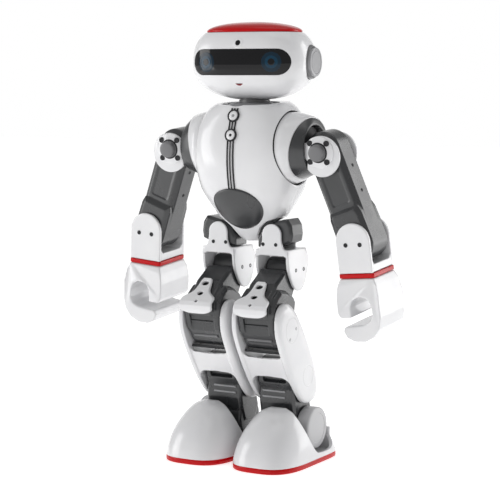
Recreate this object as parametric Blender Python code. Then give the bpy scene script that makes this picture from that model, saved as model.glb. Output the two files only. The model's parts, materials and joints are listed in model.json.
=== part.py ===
"""Walking humanoid robot toy: separate named pieces on real servo joints.

Millimetres are used below and turned into metres when a mesh is made.
The robot stands on z = 0, faces -Y and has its left side on +X.
"""
import math

import bmesh
import bpy
from mathutils import Matrix, Vector

MM = 0.001
GAP = 0.35
WALL = 2.4

WHITE = ("white shell", (0.80, 0.80, 0.81, 1.0), 0.0, 0.22)
DARK = ("dark grey body", (0.065, 0.067, 0.072, 1.0), 0.0, 0.42)
RED = ("red trim", (0.55, 0.006, 0.012, 1.0), 0.0, 0.25)
BLACK = ("black visor", (0.006, 0.006, 0.008, 1.0), 0.0, 0.06)
GREY = ("mid grey trim", (0.30, 0.30, 0.31, 1.0), 0.0, 0.38)
STEEL = ("steel horn", (0.42, 0.42, 0.44, 1.0), 1.0, 0.35)
BLUE = ("battery wrap", (0.03, 0.08, 0.30, 1.0), 0.0, 0.45)

# Torso: height, half width, front depth, rear depth, roundness power, rise at the rear
TORSO_Y = 9.5
TORSO = (
    (189.0, 7.0, 7.5, 7.5, 2.0, 0.0),
    (196.0, 19.0, 12.4, 12.0, 2.2, 0.0),
    (205.0, 26.8, 18.6, 17.5, 2.3, 0.0),
    (213.0, 32.5, 24.4, 22.5, 2.4, 0.0),
    (221.0, 37.3, 29.4, 27.0, 2.5, 0.0),
    (232.0, 43.0, 34.8, 31.5, 2.7, 0.0),
    (243.0, 45.4, 37.4, 33.8, 2.9, 0.0),
    (256.0, 46.2, 38.8, 35.0, 3.3, 0.0),
    (271.0, 46.2, 38.4, 35.2, 3.5, 0.3),
    (282.0, 45.0, 36.7, 34.4, 3.3, 0.8),
    (291.0, 42.6, 34.1, 33.0, 3.0, 1.6),
    (298.0, 39.2, 31.9, 31.0, 2.7, 2.4),
    (302.5, 35.4, 30.2, 29.4, 2.4, 3.0),
    (305.0, 31.0, 28.9, 27.8, 2.3, 3.3),
)
TORSO_SIDES = 28
NECK_OPENING = (0.0, 5.0, 25.0)
ARCH = (
    (7.5, 180.0), (7.5, 189.5), (10.0, 195.5), (14.0, 201.5), (20.0, 206.5), (27.0, 209.2),
    (33.0, 212.0), (39.0, 216.5), (46.0, 222.0), (60.0, 224.0), (60.0, 180.0),
)

# Head: the local frame is centred on the neck axis and turned a little to the left
HEAD_AXIS = (0.0, 11.5)
HEAD_TURN = 4.0
HEAD_MID = 341.0
HEAD_HALF = (53.0, 33.5)
HEAD_DROP = 31.5
HEAD_RISE = 34.0
HEAD_POWERS = (2.35, 2.6)
HEAD_PLAN = 2.9
HEAD_SEAM = 5.0
CAP_BOTTOM = 366.3
VISOR = (45.5, 11.0)
EAR = (5.0, 341.0)
MOUTH = ((-3.3, 323.8), (-2.6, 322.3), (0.0, 321.3), (2.6, 322.3), (3.3, 323.8), (0.0, 323.2))

# Arms: axes before the backward lean of the whole arm
ARM_Y = 9.0
SHOULDER_Z = 269.0
ROLL_X = 73.0
ARM_LEAN = 5.0
UPPER_TILT = 21.1
UPPER_LENGTH = 82.2
FOREARM_TILT = 5.0

# Legs
LEG_X = 26.5
HIP_ROLL_Z = 188.0
HIP = (15.2, 165.0)
KNEE = (-11.0, 113.5)
ANKLE = (12.0, 76.0)
FOOT_X = 33.5
ANKLE_ROLL_Z = 22.0


def clear_scene():
    for item in list(bpy.data.objects):
        bpy.data.objects.remove(item, do_unlink=True)


def material(spec):
    name, colour, metal, rough = spec
    found = bpy.data.materials.get(name)
    if found:
        return found
    made = bpy.data.materials.new(name)
    made.use_nodes = True
    shader = made.node_tree.nodes["Principled BSDF"]
    shader.inputs["Base Color"].default_value = colour
    shader.inputs["Metallic"].default_value = metal
    shader.inputs["Roughness"].default_value = rough
    return made


def make(name, rings, colour=WHITE, origin=(0.0, 0.0, 0.0), place=None, loop=False):
    """Skin a list of equal rings with quads and close the ends."""
    place = place or Matrix.Identity(4)
    base = Vector(origin)
    count = len(rings[0])
    points = [(place @ Vector(p) - base) * MM for ring in rings for p in ring]
    faces = []
    spans = len(rings) if loop else len(rings) - 1
    for i in range(spans):
        j = (i + 1) % len(rings)
        for k in range(count):
            m = (k + 1) % count
            faces.append((i * count + k, i * count + m, j * count + m, j * count + k))
    if not loop:
        faces.append(tuple(range(count)))
        faces.append(tuple(range((len(rings) - 1) * count, len(rings) * count)))
    mesh = bpy.data.meshes.new(name)
    mesh.from_pydata(points, [], faces)
    work = bmesh.new()
    work.from_mesh(mesh)
    bmesh.ops.recalc_face_normals(work, faces=work.faces)
    work.to_mesh(mesh)
    work.free()
    mesh.materials.append(material(colour))
    made = bpy.data.objects.new(name, mesh)
    made.location = base * MM
    bpy.context.scene.collection.objects.link(made)
    return made


def apply(target, tool, operation):
    mod = target.modifiers.new(operation.lower(), "BOOLEAN")
    mod.operation = operation
    mod.solver = "EXACT"
    mod.object = tool
    tool.hide_render = True
    tool.display_type = "WIRE"


def cut(target, *tools):
    for tool in tools:
        apply(target, tool, "DIFFERENCE")


def join(target, *tools):
    for tool in tools:
        apply(target, tool, "UNION")


def keep(target, *tools):
    for tool in tools:
        apply(target, tool, "INTERSECT")


def inset(outline, depth):
    """Move every edge of a closed outline inwards by the depth."""
    if depth == 0.0:
        return list(outline)
    count = len(outline)
    area = sum(
        outline[i][0] * outline[(i + 1) % count][1] - outline[(i + 1) % count][0] * outline[i][1]
        for i in range(count)
    )
    turn = 1.0 if area > 0.0 else -1.0
    moved = []
    for i in range(count):
        before = Vector(outline[i - 1])
        here = Vector(outline[i])
        after = Vector(outline[(i + 1) % count])
        first = (here - before).normalized()
        second = (after - here).normalized()
        normal_a = Vector((-first.y, first.x)) * turn
        normal_b = Vector((-second.y, second.x)) * turn
        middle = (normal_a + normal_b).normalized()
        reach = depth / max(0.5, middle.dot(normal_a))
        moved.append(tuple(here + middle * reach))
    return moved


def soften(outline, times=1):
    """Cut the corners of a closed outline to round it."""
    for _ in range(times):
        fresh = []
        for i, here in enumerate(outline):
            after = outline[(i + 1) % len(outline)]
            fresh.append((here[0] * 0.75 + after[0] * 0.25, here[1] * 0.75 + after[1] * 0.25))
            fresh.append((here[0] * 0.25 + after[0] * 0.75, here[1] * 0.25 + after[1] * 0.75))
        outline = fresh
    return outline


def arc(centre, radius, start, stop, steps):
    found = []
    for i in range(steps + 1):
        angle = math.radians(start + (stop - start) * i / steps)
        found.append((centre[0] + radius * math.cos(angle), centre[1] + radius * math.sin(angle)))
    return found


def on_axis(axis, p, q, t):
    if axis == "X":
        return (t, p, q)
    if axis == "Y":
        return (p, t, q)
    return (p, q, t)


def prism(outline, axis, levels):
    """Rings of an outline along an axis; levels are (position, inset)."""
    return [[on_axis(axis, p, q, t) for p, q in inset(outline, c)] for t, c in levels]


def slab(lo, hi, chamfer=0.0, top=None):
    """Levels of a plain prism with chamfered ends."""
    end = chamfer if top is None else top
    levels = []
    if chamfer:
        levels += [(lo, chamfer), (lo + chamfer, 0.0)]
    else:
        levels += [(lo, 0.0)]
    if end:
        levels += [(hi - end, 0.0), (hi, end)]
    else:
        levels += [(hi, 0.0)]
    return levels


def box(x0, x1, y0, y1, z0, z1, chamfer=0.0):
    outline = [(x0, y0), (x1, y0), (x1, y1), (x0, y1)]
    if chamfer:
        c = chamfer
        outline = [
            (x0 + c, y0), (x1 - c, y0), (x1, y0 + c), (x1, y1 - c),
            (x1 - c, y1), (x0 + c, y1), (x0, y1 - c), (x0, y0 + c),
        ]
    return prism(outline, "Z", slab(z0, z1, chamfer))


def turned(profile, axis, centre, sides=16, phase=0.5):
    """Rings of a turned shape; profile points are (radius, position)."""
    rings = []
    for radius, t in profile:
        ring = []
        for k in range(sides):
            angle = 2.0 * math.pi * (k + phase) / sides
            p = centre[0] + radius * math.cos(angle)
            q = centre[1] + radius * math.sin(angle)
            ring.append(on_axis(axis, p, q, t))
        rings.append(ring)
    return rings


def oval(angle, half_x, front, rear, power):
    """Point on a rounded plan outline; front is the -Y depth."""
    c = math.cos(angle)
    s = math.sin(angle)
    deep = rear if s > 0.0 else front
    x = half_x * math.copysign(abs(c) ** (2.0 / power), c)
    y = deep * math.copysign(abs(s) ** (2.0 / power), s)
    return x, y


def torso_rings(shrink=0.0, low=0.0, high=0.0):
    rings = []
    last = len(TORSO) - 1
    for i, (z, half, front, rear, power, rise) in enumerate(TORSO):
        ring = []
        lift = low if i == 0 else (-high if i == last else 0.0)
        for k in range(TORSO_SIDES):
            angle = 2.0 * math.pi * (k + 0.5) / TORSO_SIDES
            sizes = [max(2.0, v - shrink) for v in (half, front, rear)]
            x, y = oval(angle, *sizes, power)
            height = z + lift + rise * (y + front) / (front + rear)
            ring.append((x, y + TORSO_Y, height))
        rings.append(ring)
    return rings


def torso_at(z):
    for below, above in zip(TORSO, TORSO[1:]):
        if below[0] <= z <= above[0]:
            mix = (z - below[0]) / (above[0] - below[0])
            return [a + (b - a) * mix for a, b in zip(below, above)]
    return list(TORSO[-1])


def torso_front(x, z):
    _, half, front, _, power, _ = torso_at(z)
    return TORSO_Y - front * (1.0 - min(0.999, abs(x) / half) ** power) ** (1.0 / power)


def torso_rear(x, z):
    _, half, _, rear, power, _ = torso_at(z)
    return TORSO_Y + rear * (1.0 - min(0.999, abs(x) / half) ** power) ** (1.0 / power)


def head_scale(z):
    """Share of the full plan size that the head has at a height."""
    above = z > HEAD_MID
    power = HEAD_POWERS[1] if above else HEAD_POWERS[0]
    t = abs(z - HEAD_MID) / (HEAD_RISE if above else HEAD_DROP + 0.4)
    return (1.0 - t ** power) ** (1.0 / power)


def head_rings(shrink=0.0, floor=309.5, ceiling=366.0, count=8, sides=32):
    rings = []
    for i in range(count):
        z = floor + (ceiling - floor) * (0.5 - 0.5 * math.cos(math.pi * (i + 0.35) / (count - 0.3)))
        if i == 0:
            z = floor
        if i == count - 1:
            z = ceiling
        scale = head_scale(z)
        half = HEAD_HALF[0] * scale - shrink
        deep = HEAD_HALF[1] * scale - shrink
        ring = []
        for k in range(sides):
            angle = 2.0 * math.pi * (k + 0.5) / sides
            x, y = oval(angle, half, deep, deep, HEAD_PLAN)
            ring.append((x, y, z))
        rings.append(ring)
    return rings


def head_front(x, z):
    scale = head_scale(z)
    share = min(0.999, abs(x) / (HEAD_HALF[0] * scale))
    return -HEAD_HALF[1] * scale * (1.0 - share ** HEAD_PLAN) ** (1.0 / HEAD_PLAN)


def stadium(half_length, half_height, centre=(0.0, 0.0), steps=6):
    straight = half_length - half_height
    right = arc((centre[0] + straight, centre[1]), half_height, -90.0, 90.0, steps)
    left = arc((centre[0] - straight, centre[1]), half_height, 90.0, 270.0, steps)
    return right + left


def mirror(side):
    return Matrix.Scale(-1.0, 4, (1.0, 0.0, 0.0)) if side < 0 else Matrix.Identity(4)


def build_torso():
    inner = make("torso_inner_tool", torso_rings(WALL, 3.0, 2.6))
    neck = make("neck_tool", turned([(25.0, 290.0), (25.0, 315.0)], "Z", NECK_OPENING[:2], 24))
    tools = [inner, neck]
    for side in (1, -1):
        hole = turned([(31.9, 36.2), (31.9, 60.0)], "X", (ARM_Y, SHOULDER_Z), 24)
        tools.append(make("sleeve_hole_tool", hole, place=mirror(side)))
        arch = prism(ARCH, "Y", [(-60.0, 0.0), (70.0, 0.0)])
        tools.append(make("arch_tool", arch, place=mirror(side)))
    rear_half = make("rear_half_tool", box(-90, 90, TORSO_Y - 0.15, 120, 150, 340))
    front_half = make("front_half_tool", box(-90, 90, -120, TORSO_Y + 0.15, 150, 340))
    front = make("torso_front_shell", torso_rings())
    cut(front, *tools, rear_half)
    rear = make("torso_rear_shell", torso_rings())
    door_hole = make("door_hole_tool", box(-18.4, 18.4, 20, 70, 236.6, 275.4))
    button_hole = make("button_hole_tool", turned([(5.7, 28.0), (5.7, 60.0)], "Y", (0.0, 287.0), 14))
    cut(rear, *tools, front_half, door_hole, button_hole)
    door = make("battery_door", torso_rings(), GREY)
    cut(door, inner)
    keep(door, make("door_tool", box(-18.0, 18.0, 20, 70, 237.0, 275.0)))

    start = torso_rear(0.0, 287.0)
    profile = [(6.6, start - 5.4), (6.6, start - 3.9), (5.3, start - 3.9), (5.3, start + 1.2)]
    profile += [(4.5, start + 1.9)]
    button = (0.0, start, 287.0)
    make("power_button", turned(profile, "Y", (0.0, 287.0), 14), RED, button)

    strip = []
    for z in (235.5, 243.0, 249.5, 256.0, 271.0, 282.0, 291.0, 298.0, 302.0):
        near = torso_front(0.0, z) - GAP
        far = near - 0.9
        strip.append([(-3.3, near, z), (-2.9, far, z), (2.9, far, z), (3.3, near, z)])
    trim = make("chest_trim", strip, DARK)
    for z in (296.0, 280.0):
        slope = (torso_front(0.0, z + 4.0) - torso_front(0.0, z - 4.0)) / 8.0
        lean = Matrix.Rotation(math.atan(slope), 4, "X")
        spot = Matrix.Translation((0.0, torso_front(0.0, z), z)) @ lean.inverted()
        ring = turned([(5.4, -0.55), (5.4, -1.5), (4.7, -2.0)], "Y", (0.0, 0.0), 14)
        join(trim, make("ring_tool", ring, place=spot))

    egg = []
    scales = (0.12, 0.4, 0.7, 1.0)
    for away, order in ((GAP + 0.1, scales), (1.9, tuple(reversed(scales)))):
        for share in order:
            size = share - (0.05 if away > 1.0 and share == 1.0 else 0.0)
            ring = []
            for k in range(20):
                angle = 2.0 * math.pi * (k + 0.5) / 20
                z = 217.5 + 17.8 * size * math.sin(angle)
                wide = 23.0 * (1.0 + 0.14 * math.sin(angle))
                x = wide * size * math.cos(angle)
                ring.append((x, torso_front(x, z) - away, z))
            egg.append(ring)
    make("belly_plate", egg, DARK)

    collar = turned([(24.5, 298.6), (24.5, 303.4), (23.4, 304.2), (19.5, 305.6), (17.0, 306.9)], "Z",
                    NECK_OPENING[:2], 24)
    ring = make("neck_collar", collar, GREY)
    cut(ring, make("collar_tool", turned([(13.8, 290.0), (13.8, 310.0)], "Z", HEAD_AXIS, 20)))

    frame = [(-4.0, 210.6), (24.0, 210.6), (24.0, 291.0), (21.6, 291.0), (21.6, 214.4), (-4.0, 214.4)]
    make("torso_chassis", prism(frame, "X", [(-18.0, 0.0), (18.0, 0.0)]), DARK)
    make("battery_pack", box(-20.0, 20.0, 25.0, 33.0, 234.0, 277.0, 1.5), BLUE)


def leaning(profile, centre):
    """Turned rings about X whose planes lean outwards at the top and the rear."""
    rings = turned([(radius, x) for radius, x, _ in profile], "X", centre, 24)
    leaned = []
    for ring, (_, _, share) in zip(rings, profile):
        slope = 0.16 * share
        leaned.append([(x + slope * (y - centre[0] + z - centre[1]), y, z) for x, y, z in ring])
    return leaned


def build_shoulder(side, tag):
    place = mirror(side)
    centre = (ARM_Y, SHOULDER_Z)
    sleeve = [
        (30.2, 37.6, 0.0), (30.2, 41.6, 0.0), (26.0, 52.8, 1.0), (22.0, 52.8, 1.0),
        (22.0, 50.8, 1.0), (24.0, 50.8, 1.0), (27.8, 41.0, 0.0), (27.8, 37.6, 0.0),
    ]
    rings = leaning(sleeve, centre)
    make("shoulder_sleeve_" + tag, rings, WHITE, place=place, loop=True)
    cup = [(25.6, 53.2, 1.0), (21.3, 60.4, 0.0), (19.7, 60.4, 0.0), (20.4, 55.2, 1.0), (21.4, 53.2, 1.0)]
    make("shoulder_cup_" + tag, leaning(cup, centre), DARK, place=place, loop=True)
    make("shoulder_servo_" + tag, box(18.6, 47.2, -3.0, 21.0, 253.0, 285.0, 1.2), DARK, place=place)


def arm_frame(side):
    """World matrix of an arm: the backward lean about the shoulder, then the side."""
    pivot = Vector((0.0, ARM_Y, SHOULDER_Z))
    lean = Matrix.Translation(pivot) @ Matrix.Rotation(math.radians(ARM_LEAN), 4, "X")
    return mirror(side) @ lean @ Matrix.Translation(-pivot)


def limb_frame(side, x, z, tilt):
    """Limb coordinates: u outwards, v rearwards from the arm plane, w up the limb."""
    local = Matrix.Translation((x, ARM_Y, z)) @ Matrix.Rotation(math.radians(-tilt), 4, "Y")
    return arm_frame(side) @ local


def elbow_point():
    tilt = math.radians(UPPER_TILT)
    return (
        ROLL_X + UPPER_LENGTH * math.sin(tilt),
        SHOULDER_Z - UPPER_LENGTH * math.cos(tilt),
    )


def horn(name, axis, centre, face, reach, spread, origin, place, radius=8.5):
    """Servo horn with two screws that run through the bracket beside it."""
    sign = 1.0 if reach > face else -1.0
    start = face - 2.1 * sign
    disc = make(name, turned([(radius, start), (radius, face)], axis, centre, 12), STEEL, origin, place)
    shanks = []
    for way in (-1.0, 1.0):
        spot = (centre[0] + spread[0] * way, centre[1] + spread[1] * way)
        profile = [
            (1.2, start + 1.0 * sign), (1.2, reach + 0.3 * sign), (2.3, reach + 0.3 * sign),
            (2.3, reach + 0.9 * sign), (1.6, reach + 1.4 * sign),
        ]
        shanks.append(make("screw_tool", turned(profile, axis, spot, 6), STEEL, place=place))
    join(disc, *shanks)
    return disc


def screw_holes(axis, centre, lo, hi, spread, place):
    holes = []
    for way in (-1.0, 1.0):
        spot = (centre[0] + spread[0] * way, centre[1] + spread[1] * way)
        profile = [(1.55, lo), (1.55, hi)]
        holes.append(make("screw_hole_tool", turned(profile, axis, spot, 6), place=place))
    return holes


def build_arm(side, tag):
    arm = arm_frame(side)
    pitch_origin = (side * 53.5, ARM_Y, SHOULDER_Z)
    yoke = make(
        "shoulder_yoke_" + tag,
        turned([(6.0, 48.0), (6.0, 53.5), (18.2, 53.5), (18.2, 56.4)], "X", (ARM_Y, SHOULDER_Z), 20),
        WHITE, pitch_origin, arm,
    )
    disc = arc((74.4, 264.5), 17.2, 220.0, 500.0, 16)
    plate = [(54.5, 262.4), (61.4, 262.4)] + disc + [(61.4, 275.6), (54.5, 275.6)]
    for lo, hi in ((-8.0, -5.8), (23.8, 26.0)):
        levels = slab(lo, hi, 0.7, 0.0) if lo < 0.0 else slab(lo, hi, 0.0, 0.7)
        join(yoke, make("yoke_plate_tool", prism(plate, "Y", levels), place=arm))

    roll_origin = tuple(arm @ Vector((ROLL_X, ARM_Y, SHOULDER_Z)))
    hub_profile = [(11.4, -8.3), (11.4, -9.6), (8.4, -10.4), (6.9, -10.4), (6.9, -14.8), (5.6, -15.6)]
    hub = turned(hub_profile, "Y", (ROLL_X, SHOULDER_Z - 1.0), 16)
    hub_node = make("shoulder_hub_" + tag, hub, WHITE, pitch_origin, arm)
    for k in range(4):
        angle = math.radians(45.0 + 90.0 * k)
        spot = (ROLL_X + 10.8 * math.cos(angle), SHOULDER_Z - 1.0 + 10.8 * math.sin(angle))
        screw = turned([(2.3, -8.7), (2.3, -10.5), (1.6, -11.0)], "Y", spot, 6, 0.25)
        join(hub_node, make("hub_screw_tool", screw, place=arm))

    limb = limb_frame(side, ROLL_X, SHOULDER_Z, UPPER_TILT)
    top = arc((0.0, 0.0), 15.6, 0.0, 180.0, 9)
    long_shape = top + [(-15.6, -30.0), (-15.6, -UPPER_LENGTH), (15.6, -UPPER_LENGTH), (15.6, -30.0)]
    upper = make("upper_arm_" + tag, prism(long_shape, "Y", slab(-13.6, 13.6, 1.8)), DARK, roll_origin, limb)
    low = arc((0.0, -UPPER_LENGTH), 15.8, 180.0, 360.0, 9)
    block = [(15.3, -58.0), (13.5, -52.0), (-13.5, -52.0), (-15.3, -58.0)]
    join(upper, make("elbow_block_tool", prism(low + block, "Y", slab(-16.9, 16.9, 1.8)), place=limb))
    recess = turned([(9.2, -20.0), (9.2, -14.6)], "Y", (0.0, -UPPER_LENGTH), 16)
    cut(upper, make("elbow_recess_tool", recess, place=limb))

    ex, ez = elbow_point()
    elbow_origin = tuple(arm @ Vector((ex, ARM_Y, ez)))
    fore = limb_frame(side, ex, ez, FOREARM_TILT)
    horn("elbow_horn_" + tag, "Y", (0.0, 0.0), -17.0, -20.3, (6.5, 0.0), elbow_origin, fore)
    side_plate = [(15.5, -24.0)] + arc((0.0, 2.5), 15.5, 0.0, 180.0, 10) + [(-15.5, -24.0)]
    bracket = make("forearm_bracket_" + tag, prism(side_plate, "Y", slab(-20.3, -17.3, 0.8, 0.0)), WHITE,
                   elbow_origin, fore)
    rear_plate = make("rear_plate_tool", prism(side_plate, "Y", slab(17.3, 20.3, 0.0, 0.8)), place=fore)
    bridge = make("bridge_tool", box(-15.1, 15.1, -18.2, 18.2, -23.7, -17.6), place=fore)
    join(bracket, rear_plate, bridge)
    cut(bracket, *screw_holes("Y", (0.0, 0.0), -25.0, -15.0, (6.5, 0.0), fore))

    make("wrist_band_" + tag, box(-16.0, 16.0, -20.6, 20.6, -27.9, -24.35, 1.0), RED, elbow_origin, fore)

    hook = [
        (-15.6, -28.25), (15.6, -28.25), (18.2, -34.0), (19.8, -44.0), (20.0, -61.0), (17.8, -70.5),
        (12.0, -77.5), (3.5, -81.2), (-6.0, -81.0), (-13.0, -77.4), (-15.8, -71.6), (-13.6, -68.0),
        (-7.0, -67.6), (-2.0, -67.2), (5.0, -66.4), (10.2, -64.0), (12.6, -59.0), (12.6, -52.0),
        (10.2, -46.6), (5.4, -43.6), (0.4, -43.6), (-4.6, -46.2), (-7.0, -51.0), (-7.0, -60.8),
        (-16.8, -60.8), (-19.4, -57.0), (-19.4, -44.0), (-18.0, -34.0),
    ]
    rings = prism(hook, "Y", [(-24.2, 2.4), (-22.8, 0.7), (-21.0, 0.0), (21.0, 0.0), (22.8, 0.7), (24.2, 2.4)])
    shaped = []
    for ring in rings:
        fresh = []
        for u, v, w in ring:
            share = min(1.0, max(0.0, (-28.0 - w) / 15.0))
            fresh.append((u, v * (0.85 + 0.15 * math.sin(share * math.pi / 2.0)), min(w, -28.25)))
        shaped.append(fresh)
    make("hand_" + tag, shaped, WHITE, elbow_origin, fore)


def build_leg(side, tag):
    place = mirror(side)
    roll_origin = (side * LEG_X, 7.0, HIP_ROLL_Z)
    housing = [
        (11.0, 184.3), (28.0, 184.3), (36.0, 186.9), (43.6, 190.0), (44.6, 196.0), (43.6, 204.0),
        (40.0, 209.4), (34.5, 208.6), (28.0, 206.8), (20.5, 204.4), (14.8, 199.2), (11.0, 192.6),
    ]
    make("hip_housing_" + tag, prism(housing, "Y", slab(-3.0, 19.0, 1.4)), DARK, place=place)

    flare = [(15.6, 177.2), (15.2, 180.6), (11.6, 184.0), (9.4, 188.5)]
    stone = [(LEG_X + x, z) for x, z in flare] + arc((LEG_X, 196.0), 9.0, 0.0, 180.0, 8)
    stone += [(LEG_X - x, z) for x, z in reversed(flare)]
    tail = [(LEG_X + 9.0, 180.5)] + arc((LEG_X, 196.0), 9.0, 0.0, 180.0, 8) + [(LEG_X - 9.0, 180.5)]
    beam = box(LEG_X - 15.8, LEG_X + 15.8, -5.6, 28.0, 178.2, 183.2, 1.2)
    yoke = make("hip_yoke_" + tag, beam, WHITE, roll_origin, place)
    front_plate = make("hip_front_tool", prism(stone, "Y", slab(-6.0, -3.4, 0.8, 0.0)), place=place)
    rear_plate = make("hip_rear_tool", prism(tail, "Y", slab(19.4, 22.0, 0.0, 0.7)), place=place)
    cheek = [
        (-5.3, 181.0), (-5.0, 172.0), (-3.2, 163.5), (3.0, 153.5), (8.0, 148.6), (13.8, 146.6),
        (19.5, 147.6), (24.0, 151.5), (28.0, 159.5), (30.8, 169.0), (31.0, 175.0), (28.5, 179.5),
        (24.0, 182.0), (16.0, 182.8),
    ]
    outer = make("hip_outer_tool", prism(cheek, "X", slab(LEG_X + 13.5, LEG_X + 16.0, 0.0, 0.8)), place=place)
    inner = make("hip_inner_tool", prism(cheek, "X", slab(LEG_X - 16.0, LEG_X - 13.5, 0.8, 0.0)), place=place)
    join(yoke, front_plate, rear_plate, outer, inner)
    cut(yoke, *screw_holes("X", HIP, LEG_X + 12.0, LEG_X + 19.0, (6.85, 0.0), place))

    hip_origin = (side * LEG_X, HIP[0], HIP[1])
    horn("hip_horn_" + tag, "X", HIP, LEG_X + 13.2, LEG_X + 16.0, (6.85, 0.0), roll_origin, place)

    crown = arc(HIP, 10.5, 0.0, 180.0, 8)
    below = [
        (-30.4, 115.0), (-27.0, 107.0), (-19.8, 101.6), (-11.0, 99.0), (-3.0, 101.1), (2.4, 106.3),
        (4.4, 113.5), (4.4, 122.0),
    ]
    core = crown + [
        (-3.4, 166.2), (-12.0, 160.6), (-20.6, 155.6), (-24.3, 150.9), (-33.1, 143.3), (-39.9, 137.4),
        (-40.3, 135.8), (-39.5, 133.6), (-37.6, 130.2), (-33.8, 124.5),
    ] + [(y + 0.6, z + 0.8) for y, z in below] + [(5.6, 132.0), (9.0, 142.0), (14.0, 150.0), (20.0, 157.0)]
    levels = slab(LEG_X - 13.1, LEG_X + 13.1, 1.4)
    thigh = make("thigh_" + tag, prism(core, "X", levels), DARK, hip_origin, place)
    wide = [
        (6.4, 139.0), (3.0, 143.5), (-8.0, 149.0), (-20.0, 151.0), (-28.0, 145.3), (-33.0, 138.5),
        (-34.0, 132.0), (-33.2, 124.5),
    ] + below + [(5.0, 132.0)]
    levels = slab(LEG_X - 18.0, LEG_X + 18.0, 1.6)
    join(thigh, make("thigh_wide_tool", prism(wide, "X", levels), place=place))
    recess = turned([(9.2, LEG_X + 10.7), (9.2, LEG_X + 30.0)], "X", HIP, 16)
    cut(thigh, make("hip_recess_tool", recess, place=place))
    recess = turned([(9.2, LEG_X + 15.7), (9.2, LEG_X + 19.0)], "X", KNEE, 16)
    cut(thigh, make("knee_recess_tool", recess, place=place))

    cap = [
        (-22.6, 158.0), (-26.6, 153.6), (-35.3, 145.9), (-42.3, 139.9), (-44.0, 136.5), (-43.4, 132.5),
        (-41.6, 129.6), (-39.2, 128.4), (-38.6, 130.2), (-40.4, 133.4), (-41.1, 136.0), (-40.8, 138.1),
        (-33.8, 144.2), (-25.0, 151.7), (-21.4, 156.2),
    ]
    levels = slab(LEG_X - 15.6, LEG_X + 15.6, 0.4)
    kneecap = make("kneecap_" + tag, prism(cap, "X", levels), WHITE, hip_origin, place)
    half_bell = [(2.6, 157.6), (4.6, 155.0), (5.6, 151.0), (9.0, 148.6), (13.4, 146.4), (16.4, 142.0),
                 (16.4, 131.5), (13.6, 126.0)]
    bell = [(LEG_X + x, z) for x, z in half_bell] + [(LEG_X - x, z) for x, z in reversed(half_bell)]
    keep(kneecap, make("kneecap_bell_tool", prism(bell, "Y", [(-60.0, 0.0), (-10.0, 0.0)]), place=place))

    knee_origin = (side * LEG_X, KNEE[0], KNEE[1])
    spread = (5.2, 4.1)
    horn("knee_horn_" + tag, "X", KNEE, LEG_X + 18.25, LEG_X + 24.0, spread, knee_origin, place)
    blade = soften([
        (-34.6, 124.0), (-31.6, 108.5), (-11.2, 75.0), (4.0, 56.4), (14.5, 48.6), (32.0, 50.6),
        (36.0, 66.0), (25.8, 90.4), (3.0, 124.4), (-10.8, 138.0), (-21.5, 141.2), (-31.5, 136.0),
    ])
    dome = [(LEG_X + 18.6, 0.0), (LEG_X + 22.2, 0.0), (LEG_X + 23.4, 1.3), (LEG_X + 24.0, 4.0)]
    shin = make("shin_frame_" + tag, prism(blade, "X", dome), WHITE, knee_origin, place)
    other = [(2.0 * LEG_X - t, c) for t, c in dome]
    inner_blade = make("shin_inner_tool", prism(blade, "X", other), place=place)
    bar = [(-19.6, 92.2), (-15.6, 93.4), (-8.6, 75.2), (-12.2, 73.4)]
    bar_tool = prism(bar, "X", [(LEG_X - 20.0, 0.0), (LEG_X + 20.0, 0.0)])
    join(shin, make("shin_bar_tool", bar_tool, place=place), inner_blade)
    cut(shin, *screw_holes("X", KNEE, LEG_X + 17.0, LEG_X + 27.0, spread, place))

    ankle_origin = (side * LEG_X, ANKLE[0], ANKLE[1])
    neck = arc(ANKLE, 14.0, 0.0, 180.0, 7) + [
        (0.0, 68.0), (2.8, 62.0), (2.8, 50.0), (5.0, 40.0), (10.0, 28.0), (30.0, 28.0), (36.0, 40.0),
        (32.0, 54.0), (27.5, 66.0),
    ]
    levels = slab(LEG_X - 17.5, LEG_X + 17.5, 1.6)
    block = make("ankle_block_" + tag, prism(neck, "X", levels), DARK, ankle_origin, place)
    barrel = turned([(16.0, 10.0), (17.5, 11.5), (17.5, 44.2)], "X", (21.0, 31.0), 14)
    drum = turned([(14.5, 40.0), (14.5, 51.2), (17.4, 51.2), (18.0, 52.0), (18.0, 55.6), (16.6, 56.6)],
                  "X", (22.5, 28.0), 16)
    join(block, make("ankle_drum_tool", drum, place=place))
    axle = turned([(3.2, -8.6), (3.2, 45.3)], "Y", (FOOT_X, ANKLE_ROLL_Z), 8)
    join(block, make("ankle_barrel_tool", barrel, place=place), make("ankle_axle_tool", axle, place=place))

    build_foot(side, tag, place)


def foot_ring(z, half, toe, heel, front_power, rear_power, shrink=0.0):
    ring = []
    for k in range(20):
        angle = 2.0 * math.pi * k / 20
        power = rear_power if math.sin(angle) > 0.0 else front_power
        x, y = oval(angle, half - shrink, toe - 5.0 - shrink, heel + 5.0 - shrink, power)
        ring.append((FOOT_X + x, y - 5.0, z))
    return ring


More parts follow.
